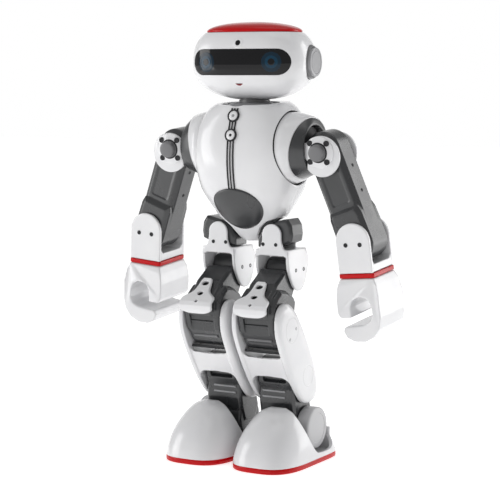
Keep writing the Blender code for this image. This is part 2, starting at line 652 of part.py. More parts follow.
def build_foot(side, tag, place):
    origin = (side * FOOT_X, 15.0, ANKLE_ROLL_Z)
    levels = (
        (4.85, 31.0, 49.6, 49.6, 3.0, 9.0), (12.0, 30.6, 48.2, 49.4, 2.8, 6.0),
        (20.0, 29.4, 44.8, 48.8, 2.6, 4.0), (28.0, 27.0, 39.6, 47.8, 2.4, 3.0),
        (35.0, 23.6, 33.4, 46.0, 2.2, 2.6), (41.0, 19.2, 26.5, 44.0, 2.1, 2.4),
        (45.5, 14.0, 19.4, 42.0, 2.0, 2.2), (48.4, 7.0, 12.5, 40.0, 2.0, 2.0),
    )
    shell = make("foot_shell_" + tag, [foot_ring(*row) for row in levels], WHITE, origin, place)
    hollow = [foot_ring(1.0, *levels[0][1:], WALL)]
    hollow += [foot_ring(row[0] - 1.2, *row[1:], WALL) for row in levels[1:-1]]
    hollow.append(foot_ring(46.0, *levels[-1][1:], 1.0))
    cut(shell, make("foot_hollow_tool", hollow, place=place))
    profile = [
        (-60.0, 0.0), (-60.0, 60.0), (-5.0, 60.0), (-5.2, 47.0), (-8.0, 42.0), (-6.4, 33.0),
        (-3.0, 24.0), (3.0, 14.0), (8.0, 9.6), (14.0, 8.6), (31.0, 8.2), (38.0, 11.0), (41.5, 19.0),
        (43.4, 26.0), (46.4, 28.0),
        (60.0, 28.0), (60.0, 0.0),
    ]
    keep(shell, make("foot_profile_tool", prism(profile, "X", [(-5.0, 0.0), (75.0, 0.0)]), place=place))
    cradle = [
        (-9.4, 5.2), (46.6, 5.2), (46.6, 26.4), (42.4, 26.4), (42.4, 7.8), (-4.6, 7.8), (-4.6, 27.6),
        (-9.4, 27.6),
    ]
    post = make("foot_cradle_tool", prism(cradle, "X", slab(FOOT_X - 8.5, FOOT_X + 8.5, 0.8)), place=place)
    join(shell, post)
    bore = turned([(3.65, -20.0), (3.65, 45.7)], "Y", (FOOT_X, ANKLE_ROLL_Z), 10)
    cut(shell, make("foot_bore_tool", bore, place=place))
    sole = [foot_ring(z, half, toe, heel, 3.0, 9.0) for z, half, toe, heel in (
        (0.0, 30.2, 48.8, 48.8), (0.9, 31.0, 49.6, 49.6), (4.5, 31.0, 49.6, 49.6))]
    make("foot_sole_" + tag, sole, RED, origin, place)


def build_head():
    place = Matrix.Translation((HEAD_AXIS[0], HEAD_AXIS[1], 0.0))
    place = place @ Matrix.Rotation(math.radians(HEAD_TURN), 4, "Z")
    origin = (HEAD_AXIS[0], HEAD_AXIS[1], 310.0)
    inner = make("head_inner_tool", head_rings(WALL, 311.9, 363.4), place=place)
    throat = make("throat_tool", turned([(13.9, 300.0), (13.9, 320.0)], "Z", (0.0, 0.0), 20), place=place)
    tools = [inner, throat]
    for side in (1, -1):
        hole = turned([(14.7, 40.0), (14.7, 70.0)], "X", EAR, 20)
        tools.append(make("ear_hole_tool", hole, place=place @ mirror(side)))
    back = make("head_back_tool", box(-80, 80, HEAD_SEAM - 0.15, 80, 290, 390), place=place)
    fore = make("head_fore_tool", box(-80, 80, -80, HEAD_SEAM + 0.15, 290, 390), place=place)
    window = stadium(*VISOR, centre=(0.0, HEAD_MID))
    opening = prism(window, "Y", [(-70.0, 0.0), (-2.0, 0.0)])
    sensor_hole = turned([(2.7, -60.0), (2.7, -5.0)], "Y", (0.0, 357.0), 12)
    mouth_hole = prism(inset(MOUTH, -0.35), "Y", [(-60.0, 0.0), (-5.0, 0.0)])
    front = make("head_shell_front", head_rings(), WHITE, origin, place)
    cut(front, *tools, back, make("visor_hole_tool", opening, place=place))
    cut(front, make("sensor_hole_tool", sensor_hole, place=place))
    cut(front, make("mouth_hole_tool", mouth_hole, place=place))
    rear = make("head_shell_rear", head_rings(), WHITE, origin, place)
    cut(rear, *tools, fore)

    visor = make("visor", head_rings(-0.2), BLACK, origin, place)
    cut(visor, inner)
    pane = prism(inset(window, GAP), "Y", [(-70.0, 0.0), (-4.0, 0.0)])
    keep(visor, make("visor_pane_tool", pane, place=place))

    cap = []
    for z, share in ((CAP_BOTTOM, 0.985), (367.2, 0.965), (369.2, 0.87), (371.4, 0.73), (373.4, 0.54),
                     (374.6, 0.32), (375.0, 0.12)):
        ring = []
        for k in range(28):
            angle = 2.0 * math.pi * (k + 0.5) / 28
            x, y = oval(angle, 42.0 * share, 26.6 * share, 26.6 * share, 2.6)
            ring.append((x, y, z))
        cap.append(ring)
    make("head_cap", cap, RED, origin, place)

    ear = [(12.0, 45.0), (14.2, 45.0), (14.2, 52.6), (13.4, 53.2), (13.2, 55.0), (12.4, 55.7), (4.0, 55.0)]
    for side, tag in ((1, "left"), (-1, "right")):
        make("ear_" + tag, turned(ear, "X", EAR, 20), GREY, origin, place @ mirror(side))
    post = [(13.2, 298.9), (13.2, 313.2), (15.0, 313.4), (15.0, 315.6), (12.0, 315.6)]
    make("neck_post", turned(post, "Z", (0.0, 0.0), 20), GREY, origin, place)
    face = head_front(0.0, 357.0)
    sensor = turned([(2.3, face + 3.4), (2.3, face - 0.1), (1.9, face - 0.5)], "Y", (0.0, 357.0), 12)
    make("forehead_sensor", sensor, BLACK, origin, place)
    face = head_front(0.0, 322.6)
    levels = [(face + 3.0, 0.0), (face - 0.3, 0.0)]
    make("mouth_insert", prism(MOUTH, "Y", levels), RED, origin, place)


def main():
    clear_scene()
    build_torso()
    build_head()
    for side, tag in ((1, "left"), (-1, "right")):
        build_shoulder(side, tag)
        build_arm(side, tag)
        build_leg(side, tag)


main()
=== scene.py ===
"""Looks of the walking humanoid robot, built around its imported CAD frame.

Sizes are millimetres in the part's own frame and become metres when a mesh is made.
Limb pieces are made for the left side and mirrored to the right.
"""
import json
import math

import bmesh
import bpy
from mathutils import Matrix, Vector

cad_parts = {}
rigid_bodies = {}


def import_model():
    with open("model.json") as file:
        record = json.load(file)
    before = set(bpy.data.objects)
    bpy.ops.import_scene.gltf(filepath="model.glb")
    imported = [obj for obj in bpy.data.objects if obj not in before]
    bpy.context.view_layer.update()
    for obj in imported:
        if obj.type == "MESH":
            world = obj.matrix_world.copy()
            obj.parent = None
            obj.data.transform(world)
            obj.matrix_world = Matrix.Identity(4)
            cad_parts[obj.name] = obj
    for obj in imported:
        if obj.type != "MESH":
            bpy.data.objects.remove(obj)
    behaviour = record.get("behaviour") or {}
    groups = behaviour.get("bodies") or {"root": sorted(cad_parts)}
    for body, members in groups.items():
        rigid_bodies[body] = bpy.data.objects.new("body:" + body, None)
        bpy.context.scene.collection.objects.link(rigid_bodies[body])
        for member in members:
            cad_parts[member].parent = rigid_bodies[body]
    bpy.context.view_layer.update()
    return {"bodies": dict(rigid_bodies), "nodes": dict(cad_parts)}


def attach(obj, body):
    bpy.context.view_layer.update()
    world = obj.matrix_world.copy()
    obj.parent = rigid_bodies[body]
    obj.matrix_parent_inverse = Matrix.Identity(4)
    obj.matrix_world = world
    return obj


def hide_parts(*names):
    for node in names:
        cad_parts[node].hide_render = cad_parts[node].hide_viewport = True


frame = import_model()

MM = 0.001
VOXEL = 0.55 * MM
WALL = 2.4

# Torso rows: height, half width, front depth, rear depth, roundness power, rise at the rear
TORSO_Y = 9.5
TORSO = (
    (189.0, 7.0, 7.5, 7.5, 2.0, 0.0),
    (196.0, 19.0, 12.4, 12.0, 2.2, 0.0),
    (205.0, 26.8, 18.6, 17.5, 2.3, 0.0),
    (213.0, 32.5, 24.4, 22.5, 2.4, 0.0),
    (221.0, 37.3, 29.4, 27.0, 2.5, 0.0),
    (232.0, 43.0, 34.8, 31.5, 2.7, 0.0),
    (243.0, 45.4, 37.4, 33.8, 2.9, 0.0),
    (256.0, 46.2, 38.8, 35.0, 3.3, 0.0),
    (271.0, 46.2, 38.4, 35.2, 3.5, 0.3),
    (282.0, 45.0, 36.7, 34.4, 3.3, 0.8),
    (291.0, 42.6, 34.1, 33.0, 3.0, 1.6),
    (298.0, 39.2, 31.9, 31.0, 2.7, 2.4),
    (302.5, 35.4, 30.2, 29.4, 2.4, 3.0),
    (305.0, 31.0, 28.9, 27.8, 2.3, 3.3),
)
NECK = (0.0, 5.0)
NECK_RADIUS = 25.0
TORSO_HOLLOW = (WALL, 3.0, 2.6)
SOCKET_RADIUS = 31.7
BACK_SCREW_X = 24.5
BACK_SCREW_ROWS = (229.0, 243.0, 258.0, 272.0)
BUTTON = (0.0, 287.0)
ARCH = (
    (7.5, 180.0), (7.5, 189.5), (10.0, 195.5), (14.0, 201.5), (20.0, 206.5), (27.0, 209.2),
    (33.0, 212.0), (39.0, 216.5), (46.0, 222.0), (60.0, 224.0), (60.0, 180.0),
)

# Head, in a frame centred on the neck axis
HEAD_AXIS = (0.0, 11.5)
HEAD_TURN = 4.0
HEAD_MID = 341.0
HEAD_HALF = (53.0, 33.5)
HEAD_DROP = 31.5
HEAD_RISE = 34.0
HEAD_POWERS = (2.35, 2.6)
HEAD_PLAN = 2.9
HEAD_SEAM = 5.0
VISOR = (45.5, 11.0)
EAR = (5.0, 341.0)
SENSOR_Z = 357.0
HEAD_HOLLOW = (WALL, 311.9, 363.4)
CAP_HALF = (41.6, 26.2)
CAP_EDGE_Z = 367.3
CAP_RISE = 7.7
CAP_SIDES = 112
EYE = (30.5, 341.0)

# Arms
ARM_Y = 9.0
SHOULDER_Z = 269.0
ROLL_X = 73.0
ARM_LEAN = 5.0
UPPER_TILT = 21.1
UPPER_LENGTH = 82.2
FOREARM_TILT = 5.0

# Legs
LEG_X = 26.5
HIP = (15.2, 165.0)
KNEE = (-11.0, 113.5)
ANKLE = (12.0, 76.0)
FOOT_X = 33.5
ANKLE_ROLL_Z = 22.0

# Looks: slot, two colours, lowest and highest roughness, grain scale, grain depth, metal, coat
LOOKS = {
    "white_shell": ("white_shell", (0.76, 0.76, 0.77), (0.72, 0.72, 0.735),
        0.16, 0.24, 900, 0.02, 0.0, 0.35),
    # A rougher copy of the white plastic whose darker base colour is painted shade, used on the posts and
    # wall inside the foot.
    "white_satin_painted_shade": ("white_shell", (0.68, 0.68, 0.69), (0.64, 0.64, 0.655),
        0.28, 0.38, 1500, 0.05, 0.0, 0.1),
    "dark_body": ("dark_body", (0.027, 0.028, 0.030), (0.020, 0.021, 0.023),
        0.22, 0.34, 2200, 0.09, 0.0, 0.0),
    "dark_line": ("dark_body", (0.035, 0.035, 0.037), (0.028, 0.028, 0.03),
        0.35, 0.45, 1800, 0.04, 0.0, 0.0),
    "black_visor": ("black_visor", (0.003, 0.003, 0.004), (0.005, 0.005, 0.006),
        0.05, 0.09, 300, 0.005, 0.0, 0.0),
    "red_trim": ("red_trim", (0.52, 0.001, 0.004), (0.46, 0.001, 0.003),
        0.16, 0.24, 900, 0.02, 0.0, 0.0),
    "mouth_red": ("red_trim", (0.22, 0.006, 0.012), (0.16, 0.004, 0.010),
        0.25, 0.35, 900, 0.02, 0.0, 0.2),
    "grey_trim": ("grey_trim", (0.30, 0.30, 0.31), (0.26, 0.26, 0.27),
        0.30, 0.42, 1800, 0.06, 0.0, 0.1),
    "grey_rim": ("grey_trim", (0.16, 0.16, 0.165), (0.13, 0.13, 0.135),
        0.30, 0.42, 1800, 0.06, 0.0, 0.1),
    "grey_pale": ("grey_trim", (0.50, 0.50, 0.51), (0.46, 0.46, 0.47),
        0.28, 0.38, 1800, 0.05, 0.0, 0.1),
    "steel_horn": ("steel_horn", (0.45, 0.45, 0.47), (0.36, 0.36, 0.38),
        0.22, 0.40, 2600, 0.10, 1.0, 0.0),
    "battery_wrap": ("battery_wrap", (0.03, 0.08, 0.30), (0.02, 0.06, 0.24),
        0.3, 0.45, 600, 0.05, 0.0, 0.2),
    "eye_halo": ("black_visor", (0.003, 0.018, 0.034), (0.002, 0.013, 0.026),
        0.08, 0.14, 400, 0.0, 0.0, 0.0),
    "eye_core": ("black_visor", (0.004, 0.035, 0.068), (0.003, 0.028, 0.055),
        0.08, 0.14, 400, 0.0, 0.0, 0.0),
}
# Specular level of the looks that differ from 0.5
SHINE = {
    "black_visor": 0.35, "dark_body": 0.75, "red_trim": 0.22, "eye_halo": 0.3, "eye_core": 0.3,
    "dark_line": 0.12,
}
MATERIALS = {}

# Strength of the studio's surroundings in front of the robot and behind it
FRONT_LIGHT = 0.46
BACK_LIGHT = 1.0
BACKWARD = (-0.5, 0.866, 0.0)
FADE = (0.80, 0.94)
FLOOR_HALF = 6.0
FLOOR_GREY = 0.93
FLOOR_GLOW = 0.60
AIM = (0.0, 0.0, 0.19)
CAMERA_PLACE = (0.70907, -1.20919, 0.32786)
CAMERA_AZIMUTH = 30.31
CAMERA_ELEVATION = 5.98
CAMERA_LENS = 118.35


def side_scale(sign):
    return Matrix.Scale(sign, 4, (1.0, 0.0, 0.0))


def link(tree, source, output, target, field):
    tree.links.new(source.outputs[output], target.inputs[field])


def fill(node, values):
    for field, value in values.items():
        node.inputs[field].default_value = value


def build_material(name):
    """Moulded plastic or metal: cloudy colour and gloss with a fine surface grain."""
    _, first, second, low, high, grain, depth, metal, coat = LOOKS[name]
    made = bpy.data.materials.new("look_" + name)
    made.use_nodes = True
    tree = made.node_tree
    shader = tree.nodes["Principled BSDF"]
    fill(shader, {
        "Metallic": metal, "Coat Weight": coat, "Coat Roughness": 0.06,
        "Specular IOR Level": SHINE.get(name, 0.5),
    })
    place = tree.nodes.new("ShaderNodeTexCoord")
    cloud = tree.nodes.new("ShaderNodeTexNoise")
    fill(cloud, {"Scale": 28.0, "Detail": 3.0})
    link(tree, place, "Object", cloud, "Vector")
    tint = tree.nodes.new("ShaderNodeValToRGB")
    tint.color_ramp.elements[0].position = 0.35
    tint.color_ramp.elements[0].color = (*first, 1.0)
    tint.color_ramp.elements[1].position = 0.65
    tint.color_ramp.elements[1].color = (*second, 1.0)
    link(tree, cloud, "Fac", tint, "Fac")
    link(tree, tint, "Color", shader, "Base Color")
    gloss = tree.nodes.new("ShaderNodeMapRange")
    fill(gloss, {"From Min": 0.3, "From Max": 0.7, "To Min": low, "To Max": high})
    link(tree, cloud, "Fac", gloss, "Value")
    link(tree, gloss, "Result", shader, "Roughness")
    if depth:
        fine = tree.nodes.new("ShaderNodeTexNoise")
        fill(fine, {"Scale": grain, "Detail": 2.0})
        link(tree, place, "Object", fine, "Vector")
        bump = tree.nodes.new("ShaderNodeBump")
        fill(bump, {"Strength": depth, "Distance": 0.2 * MM})
        link(tree, fine, "Fac", bump, "Height")
        link(tree, bump, "Normal", shader, "Normal")
    return made


def look_material(name):
    if name not in MATERIALS:
        MATERIALS[name] = build_material(name)
    return MATERIALS[name]


def skin(rings, place=None, loop=False):
    """Skin a list of equal rings with quads and close the ends."""
    place = place or Matrix.Identity(4)
    count = len(rings[0])
    points = [(place @ Vector(p)) * MM for ring in rings for p in ring]
    faces = []
    for i in range(len(rings) if loop else len(rings) - 1):
        j = (i + 1) % len(rings)
        for k in range(count):
            m = (k + 1) % count
            faces.append((i * count + k, i * count + m, j * count + m, j * count + k))
    if not loop:
        faces.append(tuple(range(count)))
        faces.append(tuple(range((len(rings) - 1) * count, len(rings) * count)))
    mesh = bpy.data.meshes.new("form")
    mesh.from_pydata(points, [], faces)
    work = bmesh.new()
    work.from_mesh(mesh)
    bmesh.ops.recalc_face_normals(work, faces=work.faces)
    work.to_mesh(mesh)
    work.free()
    made = bpy.data.objects.new("form", mesh)
    bpy.context.scene.collection.objects.link(made)
    return made


def bake(target):
    """Replace a piece's mesh with what its modifiers make of it."""
    graph = bpy.context.evaluated_depsgraph_get()
    mesh = bpy.data.meshes.new_from_object(target.evaluated_get(graph))
    target.modifiers.clear()
    target.data = mesh


def combine(target, tools, operation):
    for tool in tools:
        mod = target.modifiers.new(operation, "BOOLEAN")
        mod.operation = operation
        mod.solver = "EXACT"
        mod.object = tool
    bake(target)
    for tool in tools:
        bpy.data.objects.remove(tool)
    return target


def cut(target, *tools):
    return combine(target, tools, "DIFFERENCE")


def join(target, *tools):
    return combine(target, tools, "UNION")


def keep(target, *tools):
    return combine(target, tools, "INTERSECT")


def mould(target, passes=6, voxel=VOXEL):
    """Blend joined solids into one moulded skin with rounded edges."""
    remesh = target.modifiers.new("remesh", "REMESH")
    remesh.mode = "VOXEL"
    remesh.voxel_size = voxel
    relax = target.modifiers.new("relax", "SMOOTH")
    relax.factor = 0.5
    relax.iterations = passes
    bake(target)
    return target


def bevel(target, width, segments=2, angle=35.0):
    mod = target.modifiers.new("bevel", "BEVEL")
    mod.width = width * MM
    mod.segments = segments
    mod.limit_method = "ANGLE"
    mod.angle_limit = math.radians(angle)
    bake(target)
    return target


def show(piece, name, body, look, nodes=()):
    piece.name = name
    piece.data.name = name
    piece.data.materials.clear()
    piece.data.materials.append(look_material(look))
    piece.data.shade_smooth()
    piece.data.set_sharp_from_angle(angle=math.radians(38.0))
    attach(piece, body)
    if nodes:
        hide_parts(*nodes)


def show_pair(piece, stem, body, look, nodes=()):
    """Show a left piece and its mirrored twin."""
    twin = piece.copy()
    twin.data = piece.data.copy()
    twin.data.transform(Matrix.Scale(-1.0, 4, (1.0, 0.0, 0.0)))
    twin.data.flip_normals()
    bpy.context.scene.collection.objects.link(twin)
    for item, tag in ((piece, "left"), (twin, "right")):
        owner = body if body in frame["bodies"] else body + "_" + tag
        show(item, stem + "_" + tag, owner, look, [n + "_" + tag for n in nodes])


def inset(outline, depth):
    """Move every edge of a closed outline inwards by the depth."""
    if depth == 0.0:
        return list(outline)
    count = len(outline)
    area = sum(
        outline[i][0] * outline[(i + 1) % count][1] - outline[(i + 1) % count][0] * outline[i][1]
        for i in range(count)
    )
    turn = 1.0 if area > 0.0 else -1.0
    moved = []
    for i in range(count):
        here = Vector(outline[i])
        first = (here - Vector(outline[i - 1])).normalized()
        second = (Vector(outline[(i + 1) % count]) - here).normalized()
        normal_a = Vector((-first.y, first.x)) * turn
        normal_b = Vector((-second.y, second.x)) * turn
        middle = (normal_a + normal_b).normalized()
        moved.append(tuple(here + middle * depth / max(0.5, middle.dot(normal_a))))
    return moved


def soften(outline, times=1):
    """Cut the corners of a closed outline to round it."""
    for _ in range(times):
        fresh = []
        for i, here in enumerate(outline):
            after = outline[(i + 1) % len(outline)]
            fresh.append((here[0] * 0.75 + after[0] * 0.25, here[1] * 0.75 + after[1] * 0.25))
            fresh.append((here[0] * 0.25 + after[0] * 0.75, here[1] * 0.25 + after[1] * 0.75))
        outline = fresh
    return outline


def arc(centre, radius, start, stop, steps=24):
    found = []
    for i in range(steps + 1):
        angle = math.radians(start + (stop - start) * i / steps)
        found.append((centre[0] + radius * math.cos(angle), centre[1] + radius * math.sin(angle)))
    return found


def on_axis(axis, p, q, t):
    if axis == "X":
        return (t, p, q)
    if axis == "Y":
        return (p, t, q)
    return (p, q, t)


def prism(outline, axis, levels):
    """Rings of an outline along an axis; levels are (position, inset)."""
    return [[on_axis(axis, p, q, t) for p, q in inset(outline, c)] for t, c in levels]


def rounded(lo, hi, radius, steps=4):
    """Levels of a prism whose two ends are rounded over."""
    turns = [math.pi / 2.0 * i / steps for i in range(steps + 1)]
    start = [(lo + radius * (1.0 - math.sin(a)), radius * (1.0 - math.cos(a))) for a in reversed(turns)]
    stop = [(hi - radius * (1.0 - math.sin(a)), radius * (1.0 - math.cos(a))) for a in turns]
    return start + stop


def plain(lo, hi):
    return [(lo, 0.0), (hi, 0.0)]


def rectangle(x0, x1, y0, y1, corner=0.0, steps=6):
    if not corner:
        return [(x0, y0), (x1, y0), (x1, y1), (x0, y1)]
    c = corner
    return (
        arc((x1 - c, y0 + c), c, -90.0, 0.0, steps) + arc((x1 - c, y1 - c), c, 0.0, 90.0, steps)
        + arc((x0 + c, y1 - c), c, 90.0, 180.0, steps) + arc((x0 + c, y0 + c), c, 180.0, 270.0, steps)
    )


def block(x0, x1, y0, y1, z0, z1, corner=0.0, edge=0.0):
    levels = rounded(z0, z1, edge) if edge else plain(z0, z1)
    return skin(prism(rectangle(x0, x1, y0, y1, corner), "Z", levels))


def turned(profile, axis, centre, sides=72):
    """Rings of a turned shape; profile points are (radius, position)."""
    rings = []
    for radius, t in profile:
        ring = []
        for k in range(sides):
            angle = 2.0 * math.pi * (k + 0.5) / sides
            p = centre[0] + radius * math.cos(angle)
            q = centre[1] + radius * math.sin(angle)
            ring.append(on_axis(axis, p, q, t))
        rings.append(ring)
    return rings


def oval(angle, half_x, front, rear, power):
    """Point on a rounded plan outline; front is the -Y depth."""
    c = math.cos(angle)
    s = math.sin(angle)
    deep = rear if s > 0.0 else front
    x = half_x * math.copysign(abs(c) ** (2.0 / power), c)
    y = deep * math.copysign(abs(s) ** (2.0 / power), s)
    return x, y


def blend_rows(rows, z):
    """Smooth value of a table of rows at a height, through every row."""
    i = 0
    while i < len(rows) - 2 and z > rows[i + 1][0]:
        i += 1
    below, above = rows[i], rows[i + 1]
    before = rows[max(i - 1, 0)]
    after = rows[min(i + 2, len(rows) - 1)]
    span = above[0] - below[0]
    t = (z - below[0]) / span
    found = []
    for k in range(1, len(below)):
        slope_a = (above[k] - before[k]) / (above[0] - before[0])
        slope_b = (after[k] - below[k]) / (after[0] - below[0])
        h = t * t * (3.0 - 2.0 * t)
        rise = (t ** 3 - 2.0 * t * t + t) * slope_a * span + (t ** 3 - t * t) * slope_b * span
        found.append(below[k] + (above[k] - below[k]) * h + rise)
    return found


def torso_rings(shrink=0.0, low=0.0, high=0.0, count=64, sides=112):
    rings = []
    bottom, top = TORSO[0][0], TORSO[-1][0]
    for i in range(count):
        share = i / (count - 1)
        z = bottom + (top - bottom) * (0.55 * share + 0.45 * (0.5 - 0.5 * math.cos(math.pi * share)))
        half, front, rear, power, rise = blend_rows(TORSO, z)
        lift = low if i == 0 else (-high if i == count - 1 else 0.0)
        ring = []
        for k in range(sides):
            angle = 2.0 * math.pi * (k + 0.5) / sides
            x, y = oval(angle, *[max(2.0, v - shrink) for v in (half, front, rear)], power)
            ring.append((x, y + TORSO_Y, z + lift + rise * (y + front) / (front + rear)))
        rings.append(ring)
    return rings


def torso_front(x, z):
    half, front, _, power, _ = blend_rows(TORSO, z)
    return TORSO_Y - front * (1.0 - min(0.999, abs(x) / half) ** power) ** (1.0 / power)


def torso_rear(x, z):
    half, _, rear, power, _ = blend_rows(TORSO, z)
    return TORSO_Y + rear * (1.0 - min(0.999, abs(x) / half) ** power) ** (1.0 / power)


def torso_side(y, z):
    half, front, rear, power, _ = blend_rows(TORSO, min(304.5, max(190.0, z)))
    deep = rear if y > TORSO_Y else front
    share = min(0.98, abs(y - TORSO_Y) / deep)
    return half * (1.0 - share ** power) ** (1.0 / power)


def head_scale(z):
    above = z > HEAD_MID
    power = HEAD_POWERS[1] if above else HEAD_POWERS[0]
    t = abs(z - HEAD_MID) / (HEAD_RISE if above else HEAD_DROP + 0.4)
    return (1.0 - min(t, 0.9999) ** power) ** (1.0 / power)


def head_rings(shrink=0.0, floor=309.5, ceiling=366.0, count=44, sides=128):
    rings = []
    for i in range(count):
        z = floor + (ceiling - floor) * (0.5 - 0.5 * math.cos(math.pi * i / (count - 1)))
        scale = head_scale(z)
        half = HEAD_HALF[0] * scale - shrink
        deep = HEAD_HALF[1] * scale - shrink
        ring = []
        for k in range(sides):
            x, y = oval(2.0 * math.pi * (k + 0.5) / sides, half, deep, deep, HEAD_PLAN)
            ring.append((x, y, z))
        rings.append(ring)
    return rings


def head_front(x, z):
    scale = head_scale(z)
    share = min(0.999, abs(x) / (HEAD_HALF[0] * scale))
    return -HEAD_HALF[1] * scale * (1.0 - share ** HEAD_PLAN) ** (1.0 / HEAD_PLAN)


def stadium(half_length, half_height, centre):
    straight = half_length - half_height
    right = arc((centre[0] + straight, centre[1]), half_height, -90.0, 90.0)
    left = arc((centre[0] - straight, centre[1]), half_height, 90.0, 270.0)
    return right + left


def head_frame():
    place = Matrix.Translation((HEAD_AXIS[0], HEAD_AXIS[1], 0.0))
    return place @ Matrix.Rotation(math.radians(HEAD_TURN), 4, "Z")


def arm_frame():
    """Matrix of the left arm: the backward lean about the shoulder."""
    pivot = Vector((0.0, ARM_Y, SHOULDER_Z))
    lean = Matrix.Translation(pivot) @ Matrix.Rotation(math.radians(ARM_LEAN), 4, "X")
    return lean @ Matrix.Translation(-pivot)


def limb_frame(x, z, tilt):
    """Limb coordinates: u outwards, v rearwards from the arm plane, w up the limb."""
    local = Matrix.Translation((x, ARM_Y, z)) @ Matrix.Rotation(math.radians(-tilt), 4, "Y")
    return arm_frame() @ local


def elbow_point():
    tilt = math.radians(UPPER_TILT)
    return ROLL_X + UPPER_LENGTH * math.sin(tilt), SHOULDER_Z - UPPER_LENGTH * math.cos(tilt)


def facing(point, direction):
    """Matrix that carries the local Y axis to a direction at a point."""
    turn = Vector(direction).to_track_quat("Y", "Z").to_matrix().to_4x4()
    return Matrix.Translation(point) @ turn


def screw(radius, place):
    """Socket screw head whose face looks along the local +Y axis."""
    r = radius
    profile = [
        (r, -0.8), (r, 0.25), (r * 0.88, 0.42), (r * 0.56, 0.42), (r * 0.5, 0.34), (r * 0.48, 0.20),
    ]
    return skin(turned(profile, "Y", (0.0, 0.0), 28), place)


def build_torso():
    def tools():
        bore = turned([(NECK_RADIUS, 290.0), (NECK_RADIUS, 315.0)], "Z", NECK, 96)
        made = [skin(torso_rings(*TORSO_HOLLOW)), skin(bore)]
        for sign in (1.0, -1.0):
            flip = side_scale(sign)
            socket = turned([(SOCKET_RADIUS, 34.0), (SOCKET_RADIUS, 60.0)], "X", (ARM_Y, SHOULDER_Z), 96)
            made.append(skin(socket, flip))
            made.append(skin(prism(ARCH, "Y", plain(-60.0, 70.0)), flip))
        return made

    front = cut(skin(torso_rings()), *tools(), block(-90, 90, TORSO_Y - 0.05, 120, 150, 340))
    show(bevel(front, 0.5), "torso_front_form", "torso", "white_shell", ["torso_front_shell"])
    rear = cut(skin(torso_rings()), *tools(), block(-90, 90, -120, TORSO_Y + 0.05, 150, 340))
    hole = skin(prism(rectangle(-18.4, 18.4, 236.6, 275.4, 3.0), "Y", plain(20.0, 70.0)))
    button_hole = skin(turned([(5.7, 28.0), (5.7, 60.0)], "Y", BUTTON, 48))
    cut(rear, hole, button_hole)
    for z in BACK_SCREW_ROWS:
        floor = torso_rear(BACK_SCREW_X, z) - 1.2
        pit = turned([(2.0, floor), (2.0, 60.0)], "Y", (BACK_SCREW_X, z), 24)
        cut(rear, skin(pit), skin(pit, side_scale(-1.0)))
    show(bevel(rear, 0.4), "torso_rear_form", "torso", "white_shell", ["torso_rear_shell"])
    for i, z in enumerate(BACK_SCREW_ROWS):
        for x, tag in ((BACK_SCREW_X, "left"), (-BACK_SCREW_X, "right")):
            spot = (x, torso_rear(BACK_SCREW_X, z) - 0.9, z)
            head = screw(1.7, facing(spot, (0.0, 1.0, 0.0)))
            show(head, "back_screw_%d_%s" % (i + 1, tag), "torso", "dark_line")

    door = cut(skin(torso_rings()), skin(torso_rings(*TORSO_HOLLOW)))
    keep(door, skin(prism(rectangle(-18.0, 18.0, 237.0, 275.0, 2.6), "Y", plain(20.0, 70.0))))
    latch = prism(rectangle(-6.0, 6.0, 268.0, 272.0, 1.9), "Y", plain(torso_rear(0.0, 270.0) - 0.9, 70.0))
    cut(door, skin(latch))
    for z in (243.0, 246.0, 249.0):
        cut(door, skin(prism(rectangle(-11.0, 11.0, z, z + 1.2, 0.55), "Y",
                             plain(torso_rear(0.0, z) - 0.7, 70.0))))
    show(bevel(door, 0.4), "battery_door_form", "torso", "grey_trim", ["battery_door"])

    start = torso_rear(*BUTTON)
    profile = [(5.3, start - 3.9), (5.3, start + 0.9), (5.1, start + 1.5), (4.6, start + 1.8),
               (3.6, start + 1.85), (3.4, start + 1.6), (0.4, start + 1.5)]
    button = skin(turned(profile, "Y", BUTTON, 64))
    show(button, "power_button_form", "power_button", "red_trim", ["power_button"])

    build_chest()
    collar = [(24.5, 298.6), (24.5, 303.2), (24.1, 303.9), (23.2, 304.3), (19.5, 305.7), (17.0, 306.8),
              (14.4, 307.0), (13.8, 306.4), (13.8, 298.6)]
    show(skin(leaning_collar(collar), loop=True), "neck_collar_form", "torso", "grey_trim", ["neck_collar"])


def leaning_collar(profile):
    """Collar rings whose bore is centred on the head axis and whose rim follows the neck opening."""
    rings = []
    for radius, z in profile:
        share = min(1.0, max(0.0, (24.5 - radius) / (24.5 - 13.8)))
        centre = (HEAD_AXIS[0] * share, NECK[1] + (HEAD_AXIS[1] - NECK[1]) * share)
        reach = min(radius, 24.5)
        rings.append(turned([(reach, z)], "Z", centre, 96)[0])
    return rings


def chest_band(left, right, lift, lo, hi, steps=40):
    """Thin band down the chest between two offsets from the middle."""
    rings = []
    for i in range(steps + 1):
        z = lo + (hi - lo) * i / steps
        near = torso_front(0.0, z) + 0.6
        far = torso_front(0.0, z) - lift
        e = 0.18
        rings.append([(left, near, z), (left, far + e, z), (left + e, far, z), (right - e, far, z),
                      (right, far + e, z), (right, near, z)])
    return skin(rings)


